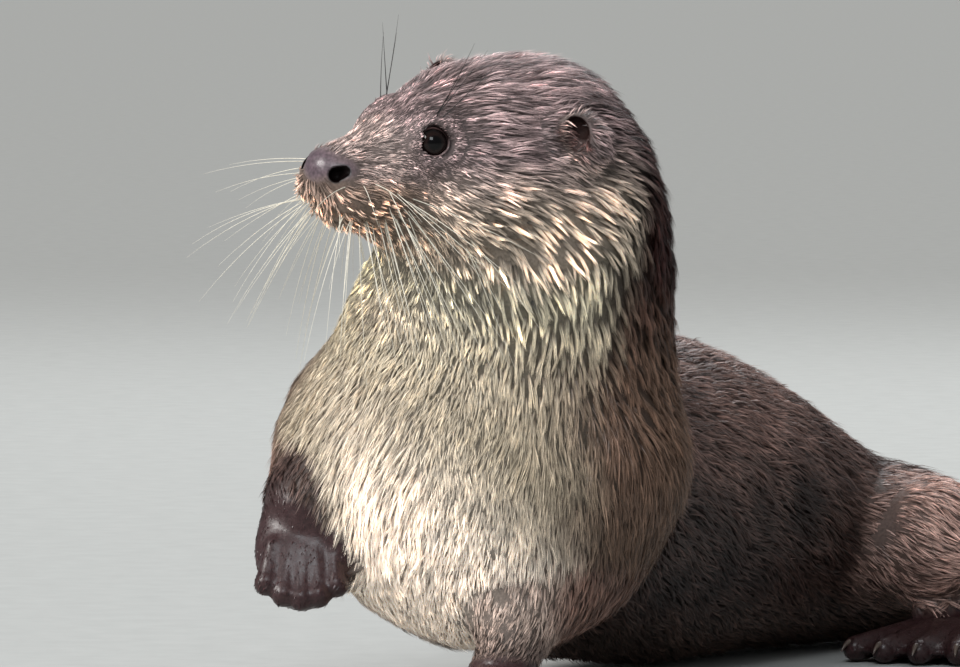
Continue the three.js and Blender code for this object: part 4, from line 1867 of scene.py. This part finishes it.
@dataclass
class Coat:
    """The coat: locks of thin blades that meet in points, rooted all over the skin."""

    shop: Workshop
    finishes: Finishes
    style: CoatStyle = CoatStyle()
    seed: int = 7
    patch: float = 0.003
    limit: int = 64000
    parts: tuple[str, ...] = tuple(part.name for part in fields(CoatStyle))

    def shares(self, p: Array) -> Array:
        """The share of each part of the style at layout points; each takes from what is left.

        Args:
            p: Layout points, (n, 3).

        Returns:
            The shares, (n, parts).
        """
        z = self.shop.zones
        masks = {"paw": z.paws(p), "ear": z.ears(p), "pads": z.pads(p), "face": z.face(p),
                 "cheek": z.cheek(p), "head": z.head(p), "tail": z.tail(p),
                 "leg": 0.85 * z.legs(p), "bib": z.bib(p), "neck": z.front(p)}
        left = np.ones(len(p))
        found = {}
        for name, mask in masks.items():
            found[name] = left * mask
            left = left - found[name]
        found["body"] = left
        return np.stack([found[name] for name in self.parts], 1)

    def growth(self, p: Array) -> Array:
        """Measures of the growth at layout points, as (n, 9)."""
        return self.shares(p) @ np.array(astuple(self.style))

    def locks(self, mesh: bpy.types.Mesh, density: float) -> Locks:
        """Sows locks over the skin.

        Each triangle gets its area over the spacing squared, rounded at random, and a place
        inside it by weights 1 - sqrt(a), sqrt(a)(1 - b) and sqrt(a)b.

        Args:
            mesh: The skin.

        Returns:
            The locks.
        """
        rng = np.random.default_rng(self.seed)
        skeleton = self.shop.skeleton
        p = self.shop.layout(points_of(mesh))
        n = normals_of(mesh)
        growth = self.growth(p)
        mesh.calc_loop_triangles()
        vertices, corners = (read(mesh.loop_triangles, key, 3, np.int32)
                             for key in ("vertices", "loops"))
        a, b, c = (p[vertices[:, k]] for k in range(3))
        area = np.linalg.norm(np.cross(b - a, c - a), axis=1) / 2
        spacing = growth[vertices, 0].mean(1)
        bare = hairless(skeleton.head, p)[vertices].mean(1)
        want = area / spacing**2 * (1 - bare) * density
        middle = (a + b + c) / 3
        want *= self.grows(middle) / self.shortened(middle)
        number = np.floor(want + rng.random(len(want))).astype(int)
        tri = np.repeat(np.arange(len(want)), number)
        u, v = np.sqrt(rng.random(len(tri))), rng.random(len(tri))
        weight = np.stack([1 - u, u * (1 - v), u * v], 1)

        def carried(rows: Array, index: Array) -> Array:
            """Values of the triangles' corners carried to the locks' roots."""
            return (rows[index[tri]] * weight[:, :, None]).sum(1)

        root, normal = carried(p, vertices), unit(carried(n, vertices))
        layer = read(mesh.uv_layers[MAP].uv, "vector", 2, np.float32).astype(float)
        return Locks(root, normal, Lie(skeleton)(root, normal), carried(layer, corners),
                     self.shares(root).argmax(1), self.growth(root), Markings(skeleton)(root))

    def grows(self, p: Array) -> Array:
        """How thickly hair grows: none in the eyes, nostrils or ear holes, or under the soles.

        Args:
            p: Layout points, (n, 3).

        Returns:
            The shares, (n,).
        """
        head = self.shop.head
        q = head.local(p)
        thick = ramp(head.nostril()(q), 1.8, 3.4)
        for side in SIDES.values():
            thick *= 0.1 + 0.9 * ramp(head.ear_hole(side)(head.in_ear(p, side)), 0.1, 0.7)
        below = (head.from_eye(q) - (-6, 5, -9)) / (6, 5, 3.4)
        pocket = ramp(-np.linalg.norm(below, axis=1), -1.2, -0.8)
        thick *= (1 - 0.7 * pocket) * (0.3 + 0.7 * ramp(head.creases()(q), 0.3, 1.3))
        return thick * ramp(p[:, 2], 0.5, 1.6)

    def shortened(self, p: Array) -> Array:
        """How much of its length the hair keeps: less round the eyes and ears.

        Args:
            p: Layout points, (n, 3).

        Returns:
            The shares, (n,).
        """
        head = self.shop.head
        q = head.local(p)
        eye = np.linalg.norm(head.from_eye(q), axis=1)
        before_ear = (head.ear[0] + 11, head.ear[1] - 2, head.ear[2])
        ear = np.linalg.norm(on_left(q) - before_ear, axis=1)
        brow = ramp(q[:, 0], 26, 44) * ramp(-q[:, 0], -66, -54)
        return (0.3 + 0.7 * ramp(eye, 8, 22)) * (0.6 + 0.4 * ramp(ear, 5, 13)) * (1 - 0.45 * brow)

    def vary(self, locks: Locks, rng: np.random.Generator) -> None:
        """Gives each lock its own length, width, lean and shade.

        Args:
            locks: The locks, changed in place.
            rng: The source of chance.
        """
        count = len(locks.root)
        short = self.shortened(locks.root)
        locks.growth[:, 2] *= rng.uniform(0.72, 1.22, count) * short
        # Short hair gets a lighter painted root shade and a weaker painted tip highlight.
        locks.growth[:, 7] += 0.3 * (1 - short) ** 2
        locks.growth[:, 8] = 1.15 + (locks.growth[:, 8] - 1.15) * np.clip(1.3 * short, 0, 1)
        zones = self.shop.zones
        head = zones.head(locks.root)
        locks.growth[:, 4] += rng.normal(0, 3.5, count) * (1 - 0.5 * head)
        side = np.cross(locks.normal, locks.way)
        locks.way = unit(locks.way + 0.13 * rng.normal(0, 1, (count, 1)) * side)
        q = self.shop.head.local(locks.root)
        # Painted shade: thin dark lines between the bundles of hair on the head, and dark gaps
        # between the tufts on the whisker pads.
        line = np.exp(-((ripple(q * (0.1, 1, 1), 5, 32) / 0.4) ** 2))
        line += 0.6 * np.exp(-((ripple(q * (0.14, 1, 1), 3, 34) / 0.4) ** 2))
        shade = rng.normal(0, 1, count) * (0.2 + 0.22 * head - 0.06 * zones.bib(locks.root))
        shade += head * (0.25 * ripple(q * (0.16, 1, 1), 2.6, 33) + 0.5 - line)
        shade += zones.pads(locks.root) * (0.3 - 1.4 * ramp(ripple(q, 2.6, 35), 0.1, 0.5))
        shade += 0.14 * ripple(locks.root, 9, 31)
        locks.tint = locks.tint * np.exp(shade)[:, None]

    def blades(self, locks: Locks, name: str, rng: np.random.Generator) -> bpy.types.Object:
        """Builds one piece of the coat.

        A blade has a pair of corners at its root, a pair half way and one at its tip. Its root
        is offset at random within its lock. Its tip is the lock's tip plus a little of the same
        offset, so that the blades meet in a point, and the middle is raised so that it arches.

        Args:
            locks: The locks of this piece.
            name: The piece's name.
            rng: The source of its variation.

        Returns:
            The piece.
        """
        each = np.floor(locks.growth[:, 1] + rng.random(len(locks.root))).astype(int)
        lock = np.repeat(np.arange(len(each)), each)
        count = len(lock)
        root, n, way = locks.root[lock], locks.normal[lock], locks.way[lock]
        _, _, length, width, lift, spread, pinch, dark, light = locks.growth[lock].T
        side = np.cross(n, way)
        turn, out = rng.uniform(0, 2 * np.pi, count), np.sqrt(rng.random(count)) * spread
        across, along = out * np.cos(turn), out * np.sin(turn)
        edge = (out / spread) ** 2
        length = length * rng.uniform(0.86, 1.08, count) * (1 - 0.15 * edge)
        rise = np.radians(lift + rng.normal(0, 2.5, count))
        offset = across[:, None] * side + along[:, None] * way
        base = root + offset - 0.35 * n
        reach = length[:, None] * (np.cos(rise)[:, None] * way + np.sin(rise)[:, None] * n)
        tip = root + reach + offset * (1 - pinch)[:, None]
        tip += side * (0.03 * length * rng.normal(0, 1, count))[:, None]
        middle = base + 0.48 * (tip - base)
        middle += n * (0.07 * length + 0.35 * spread * (1 - edge))[:, None]
        middle += 0.35 * (1 - pinch)[:, None] * offset
        flat = unit(side + n * rng.normal(0, 0.35, (count, 1)))
        half = (0.5 * width)[:, None] * flat
        points = np.stack([base - half, base + half, middle + 0.85 * half,
                           middle - 0.85 * half, tip], 1).reshape(-1, 3)
        first = 5 * np.arange(count)[:, None]
        faces = (first[:, :, None] + np.array([[[0, 1, 2], [0, 2, 3], [3, 2, 4]]])).reshape(-1, 3)
        finish = Finish.WET_PAW if "paw" in name else Finish.COAT
        made = self.shop.piece(name, points, faces, self.finishes[finish], "coat")
        made.data.shade_smooth()
        # Painted light and shade: each blade is lighter at the middle of its lock and darker at its
        # edge, dark and warm at the root, bright and cooler at the tip.
        tone = locks.tint[lock] * np.exp(rng.normal(0, 0.22, count) + 0.36 - 0.85 * edge)[:, None]
        steps = np.stack([dark, dark, 0.5 + 0.45 * light, 0.5 + 0.45 * light, light * 1.1], 1)
        warm = np.clip(steps, 0.05, 1)[:, :, None] ** np.array([0.0, 0.2, 0.24])
        colours = tone[:, None, :] * steps[:, :, None] * warm * (0.98, 1.0, 1.02)
        put_colour(made.data, "tint", colours.reshape(-1, 3))
        self.lay_out(made.data, locks.uv[lock], across / (2 * spread))
        return made

    def lay_out(self, mesh: bpy.types.Mesh, uv: Array, across: Array) -> None:
        """Gives a piece its map: each lock fills a small patch at its root's place on the skin's.

        Args:
            mesh: The piece's mesh.
            uv: Each blade's place on the skin's map.
            across: Its place across its lock, in -0.5..0.5.
        """
        x = across[:, None] * 0.7 + np.array([[-0.12, 0.12, 0.1, -0.1, 0.0]])
        y = np.array([[-0.5, -0.5, 0.0, 0.0, 0.5]]) + 0 * x
        at = uv[:, None, :] + self.patch * np.stack([x, y], 2)
        at = np.clip(at, 0, 1).reshape(-1, 2)
        corner = read(mesh.loops, "vertex_index", 1, np.int32).ravel()
        layer = mesh.uv_layers.new(name=MAP)
        layer.uv.foreach_set("vector", at[corner].astype(np.float32).ravel())

    def make(self, skin: bpy.types.Object) -> list[bpy.types.Object]:
        """Builds the whole coat on a skin, in pieces by part of the body.

        Args:
            skin: The dressed skin.

        Returns:
            The pieces.
        """
        density = 1.0
        locks = self.locks(skin.data, density)
        rng = np.random.default_rng(self.seed + 1)
        self.vary(locks, rng)
        made = []
        for index, part in enumerate(self.parts):
            rows = np.flatnonzero(locks.part == index)
            if not len(rows):
                continue
            rows = rows[np.argsort(locks.root[rows] @ np.array([0.35, 0.8, -0.5]))]
            total = locks.growth[rows, 1].sum()
            pieces = max(1, math.ceil(total / self.limit))
            for number, some in enumerate(np.array_split(rows, pieces)):
                name = f"coat_{part}_{number + 1}" if pieces > 1 else f"coat_{part}"
                made.append(self.blades(locks.take(some), name, rng))
                log.info("%s: %d locks, %d triangles", name, len(some),
                         len(made[-1].data.polygons))
        return made


# ------------------------------------------------------------------ eyes, claws and whiskers


@dataclass(frozen=True)
class Eyes:
    """Two dark round eyes, each with a slightly raised clear front."""

    shop: Workshop
    finishes: Finishes
    around: int = 64
    along: int = 40
    iris: tuple[float, float] = (0.42, 0.86)
    pupil_colour: Triple = (3, 2, 3)
    iris_colour: Triple = (26, 15, 13)
    edge_colour: Triple = (9, 6, 6)
    white_colour: Triple = (104, 80, 78)

    def ball(self) -> tuple[Array, Array]:
        """One eye round its own centre, with x along the gaze.

        It is a ball in polar angle t from the gaze and turn s about it; its radius grows by a
        small bell near the gaze, for the cornea.

        Returns:
            Points in mm and quads.
        """
        t = np.linspace(0, np.pi, self.along)[:, None]
        s = np.linspace(0, 2 * np.pi, self.around, endpoint=False)[None, :]
        radius = self.shop.head.eye_radius - 0.02 + 0.35 * np.exp(-(t / 0.6) ** 2)
        points = np.stack([radius * np.cos(t) + 0 * s, radius * np.sin(t) * np.cos(s),
                           radius * np.sin(t) * np.sin(s)], 2).reshape(-1, 3)
        i, j = np.meshgrid(np.arange(self.along - 1), np.arange(self.around), indexing="ij")
        near, far = i * self.around + j, i * self.around + (j + 1) % self.around
        return points, np.stack([near, near + self.around, far + self.around, far], 2).reshape(-1, 4)

    def tint(self, q: Array) -> Array:
        """Colours by the angle from the gaze: pupil, iris, its dark edge and the white.

        Args:
            q: Points in the eye's own frame, (n, 3).

        Returns:
            Linear colours, (n, 3).
        """
        angle = np.arctan2(np.hypot(q[:, 1], q[:, 2]), q[:, 0])
        low, high = self.iris
        tint = np.broadcast_to(linear(self.pupil_colour), (len(q), 3))
        tint = mix(tint, linear(self.iris_colour), ramp(angle, low - 0.06, low + 0.06))
        tint = mix(tint, linear(self.edge_colour), ramp(angle, high - 0.22, high))
        return mix(tint, linear(self.white_colour), ramp(angle, high + 0.1, high + 0.3))

    def make(self) -> list[bpy.types.Object]:
        """Builds both eyes.

        Returns:
            The left and the right eye.
        """
        head = self.shop.head
        ball, faces = self.ball()
        made = []
        for name, side in SIDES.items():
            gaze = unit(np.array(head.gaze) * (1, side, 1))
            turn = aimed(np.zeros(3), gaze, (0, 0, 1))
            centre = np.array(head.eye) * (1, side, 1)
            points = head.outward(ball @ turn.T + centre)
            eye = self.shop.piece(f"eyeball_{name}", points, faces, self.finishes[Finish.EYE], "eye")
            close_poles(eye.data)
            q = (head.local(self.shop.layout(points_of(eye.data))) - centre) @ turn
            put_colour(eye.data, "tint", self.tint(q))
            eye.data.shade_smooth()
            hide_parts(f"eye_{name}")
            made.append(eye)
        return made


def close_poles(mesh: bpy.types.Mesh) -> None:
    """Merges the doubled points at a shape's poles and turns its faces outwards.

    Args:
        mesh: The mesh.
    """
    with worked(mesh) as work:
        bmesh.ops.remove_doubles(work, verts=work.verts, dist=1e-6)
        bmesh.ops.recalc_face_normals(work, faces=work.faces)


def tubes(paths: Array, radii: Array, sides: int) -> tuple[Array, Array]:
    """Closed round tubes along many paths at once.

    A ring of points stands round each path point, on two axes square to the path; the last
    ring is a point, and the first is closed by a fan of its own points.

    Args:
        paths: Places, as (tubes, steps, 3).
        radii: Radius at each place, as (tubes, steps).
        sides: Points round each ring.

    Returns:
        Points and quads; the quads of the end ring fold to its point.
    """
    count, steps, _ = paths.shape
    way = unit(np.gradient(paths, axis=1))
    spare = np.broadcast_to(np.array([0.31, 0.17, 0.93]), way.shape)
    first = unit(np.cross(way, spare))
    second = np.cross(way, first)
    turn = 2 * np.pi * np.arange(sides) / sides
    ring = (first[:, :, None] * np.cos(turn)[None, None, :, None]
            + second[:, :, None] * np.sin(turn)[None, None, :, None])
    points = (paths[:, :, None] + radii[:, :, None, None] * ring).reshape(-1, 3)
    t, i, j = np.meshgrid(np.arange(count), np.arange(steps - 1), np.arange(sides), indexing="ij")
    base = (t * steps + i) * sides
    near, far = base + j, base + (j + 1) % sides
    return points, np.stack([near, far, far + sides, near + sides], 3).reshape(-1, 4)


@dataclass(frozen=True)
class Claws:
    """A small curved claw on each toe."""

    shop: Workshop
    finishes: Finishes

    def make(self) -> list[bpy.types.Object]:
        """Builds the claws of each foot as one piece.

        Returns:
            A piece for each foot.
        """
        made = []
        for name, paw in self.shop.skeleton.paws().items():
            paths, radii = [], []
            steps = np.linspace(0, 1, 9)
            rays = [(tip, point, 0.42 * radius) for _, tip, point, radius in paw.rays()]
            if paw.limp:
                rays = [(tip, tip + (-7.0, 0, 1.0), -1.0) for _, _, tip in paw.curled()]
            for tip, point, high in rays:
                way = unit(point - tip)
                start = tip + way * 1.5 + (0, 0, high)
                length = 7.0 if paw.hind else 7.5
                arch = 1.3 * np.sin(np.pi * 0.85 * steps) - 2.6 * steps**2
                line = start + np.outer(steps * length, way) + np.outer(arch, (0, 0, 1))
                paths.append(line @ paw.turn.T + paw.origin)
                radii.append(1.55 * np.sqrt(1 - steps**1.6) * (1 - 0.45 * steps) + 0.03)
            points, faces = tubes(np.array(paths), np.array(radii), 10)
            points[:, 2] = np.maximum(points[:, 2], 0.4)
            made.append(self.piece(name.replace("paw", "claws").replace("foot", "claws"),
                                   points, faces))
        return made

    def piece(self, name: str, points: Array, faces: Array) -> bpy.types.Object:
        """One foot's claws.

        Args:
            name: Its name.
            points: Places, in layout mm.
            faces: Quads.

        Returns:
            The piece.
        """
        made = self.shop.piece(name, points, faces, self.finishes[Finish.CLAW], "paw")
        close_poles(made.data)
        p = self.shop.layout(points_of(made.data))
        shade = 1 + 0.25 * ripple(p, 5, 41)
        put_colour(made.data, "tint", linear((92, 78, 70)) * shade[:, None])
        made.data.shade_smooth()
        return made


@dataclass(frozen=True)
class Whiskers:
    """Long pale whiskers on the lip pads, fewer behind the mouth, and dark ones on the brows.

    A row of sparse holds a group's name and count, then the ranges of its root, way, length
    and droop.
    """

    shop: Workshop
    finishes: Finishes
    seed: int = 19
    sparse: tuple[tuple, ...] = (
        ("cheek_whiskers", 9, ((34, 48), 26.0, (-20, -9)), ((-0.9, -0.1), (0.5, 0.8), (-0.9, -0.3)),
         (34, 52), (0.3, 0.6)),
        ("brow_whiskers", 4, ((43, 50), (13, 17), (24, 27)), ((-0.6, -0.1), (0.25, 0.5), 0.9),
         (24, 38), (-0.1, 0.1)),
    )

    def pad_rows(self, rng: np.random.Generator) -> tuple[Array, Array, Array]:
        """Root, way and length of the five rows of seven whiskers on a lip pad.

        Args:
            rng: The source of chance.

        Returns:
            Roots, ways and lengths, in the head's frame.
        """
        rows, columns = (grid.ravel() for grid in np.meshgrid(range(5), range(7), indexing="ij"))
        root = np.stack([82 - 4.0 * columns + 0.5 * rows, 10 + 1.4 * columns,
                         -1.5 - 2.7 * rows - 0.25 * columns], 1)
        root += rng.normal(0, 0.5, root.shape)
        way = np.stack([0.65 - 0.16 * columns, 0.5 + 0.05 * columns,
                        0.05 - 0.28 * rows - 0.05 * columns], 1)
        way += rng.normal(0, 0.10, way.shape)
        return root, way, rng.uniform(30, 46, len(root)) + 3.4 * columns + 1.5 * rows

    def roots(self, rng: np.random.Generator) -> list[tuple[str, Array, Array, Array, Array]]:
        """Groups of whiskers: name, root, way, length and droop, in the head's frame.

        Args:
            rng: The source of chance.

        Returns:
            A row for each group.
        """

        def sown(count: int, *columns: float | tuple[float, float]) -> Array:
            """Rows whose columns are fixed or drawn evenly between two values."""
            return np.stack([rng.uniform(*c, count) if isinstance(c, tuple) else np.full(count, c)
                             for c in columns], 1)

        groups = []
        for name, side in SIDES.items():
            flip = np.array([1, side, 1])
            root, way, length = self.pad_rows(rng)
            groups.append((f"whiskers_{name}", root * flip, way * flip, length,
                           rng.uniform(0.08, 0.28, len(root))))
            for kind, count, place, lean, reach, droop in self.sparse:
                root, way = sown(count, *place), sown(count, *lean)
                groups.append((f"{kind}_{name}", root * flip, way * flip,
                               rng.uniform(*reach, count), rng.uniform(*droop, count)))
        return groups

    def make(self) -> list[bpy.types.Object]:
        """Builds each group as one piece of tapering tubes that bend down along their length.

        Returns:
            A piece for each group.
        """
        rng = np.random.default_rng(self.seed)
        head = self.shop.head
        form = head.form()
        made = []
        for name, root, way, length, droop in self.roots(rng):
            way = unit(way)
            for _ in range(12):
                away = form(root)
                root = root - slope_of(form, root, away) * (away + 1.2)[:, None]
            t = np.linspace(0, 1, 14)
            brow = name.startswith("brow")
            bend = np.array([-1.0, 0, 0.2] if brow else [-0.35, 0, -1.0])
            path = (root[:, None] + way[:, None] * (length[:, None] * t)[:, :, None]
                    + bend * ((droop * length)[:, None] * t**2)[:, :, None])
            path = head.outward(path.reshape(-1, 3)).reshape(path.shape)
            radii = (0.22 if brow else 0.19) * (1 - 0.85 * t)[None, :] * np.ones((len(root), 1))
            points, faces = tubes(path, radii, 5)
            finish = Finish.BROW if brow else Finish.WHISKER
            piece = self.shop.piece(name, points, faces, self.finishes[finish], "coat")
            tint = linear((24, 18, 18)) if brow else linear((236, 230, 214))
            put_colour(piece.data, "tint", np.tile(tint, (len(points), 1)))
            piece.data.shade_smooth()
            made.append(piece)
        return made


# ------------------------------------------------------------------ camera, light and floor


@dataclass(frozen=True)
class Studio:
    """Camera, soft lamps, pale floor and surroundings."""

    shop: Workshop
    distance: float = 3300.0
    elevation: float = 2.5
    target: Triple = (0, 0, 140)
    lens: float = 334.1
    sensor: float = 36.0
    middle_height: float = 0.12
    floor_side: float = 120.0

    def camera(self) -> None:
        """A long lens, level with the animal, looking along +Y and slightly down."""
        data = bpy.data.cameras.new("camera")
        data.lens, data.sensor_width = self.lens, self.sensor
        data.clip_start, data.clip_end = 0.1, 200
        made = stand("camera", data)
        tilt = math.radians(self.elevation)
        back = np.array([0, -math.cos(tilt), math.sin(tilt)]) * self.distance
        made.location = self.shop.place(np.array([self.target]) + back)[0]
        made.rotation_euler = (math.pi / 2 - tilt, 0, 0)
        bpy.context.scene.camera = made

    def lamp(self, name: str, at: Triple, power: float, size: float, colour: Triple) -> None:
        """A square area lamp aimed at the animal's middle.

        Args:
            name: Its name.
            at: Its place, in metres.
            power: Its power, in watts.
            size: Its side, in metres.
            colour: Its colour.
        """
        data = bpy.data.lights.new(name, "AREA")
        data.energy, data.size, data.color = power, size, colour
        made = stand(name, data)
        made.location = at
        middle = Vector((0, 0, self.middle_height))
        made.rotation_euler = (middle - Vector(at)).to_track_quat("-Z", "Y").to_euler()

    def lights(self) -> None:
        """A broad key from the upper left, a rim from behind and a pale sky."""
        key = bpy.data.lights.new("key", "SUN")
        key.energy, key.angle, key.color = 3.3, math.radians(24), (1.0, 0.97, 0.94)
        made = stand("key", key)
        made.rotation_euler = Vector((1.0, 0.40, -0.80)).to_track_quat("-Z", "Y").to_euler()
        self.lamp("rim", (0.3, 2.3, 2.2), 32, 1.4, (0.95, 0.98, 1.0))
        self.lamp("sky", (-0.35, -1.6, 1.35), 14, 0.68, (0.93, 0.97, 1.0))
        world = bpy.data.worlds.new("sky")
        bpy.context.scene.world = world
        world.use_nodes = True
        sky = world.node_tree.nodes["Background"]
        sky.inputs["Color"].default_value = (0.80, 0.84, 0.86, 1)
        sky.inputs["Strength"].default_value = 0.31
        bpy.context.scene.view_settings.view_transform = "Standard"

    def floor(self) -> None:
        """A wide pale floor."""
        mesh = bpy.data.meshes.new("floor")
        corners = np.array([[-1, -1, 0], [1, -1, 0], [1, 1, 0], [-1, 1, 0]]) * self.floor_side / 2
        fill_mesh(mesh, corners, np.array([[0, 1, 2, 3]]))
        g = Graph("floor")
        grain = g.spread(g.noise(60, 3), 0.3, 0.7, 0.96, 1.04)
        g.set(Base_Color=g.tinted((0.46, 0.47, 0.46), grain), Roughness=0.8)
        mesh.materials.append(g.material)
        stand("floor", mesh)


def main() -> None:
    """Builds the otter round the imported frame."""
    shop = Workshop()
    studio = Studio(shop)
    studio.camera()
    studio.lights()
    studio.floor()
    finishes = Finishes()
    skin = Skin(shop).make()
    SkinDress(shop, finishes).dress(skin)
    log.info("skin: %d triangles", len(skin.data.loop_triangles) or len(skin.data.polygons))
    for maker in (Eyes, Claws, Whiskers):
        for piece in maker(shop, finishes).make():
            log.info("%s: %d faces", piece.name, len(piece.data.polygons))
    coat = Coat(shop, finishes).make(skin)
    log.info("coat: %d triangles", sum(len(piece.data.polygons) for piece in coat))


if __name__ == "__main__":
    main()
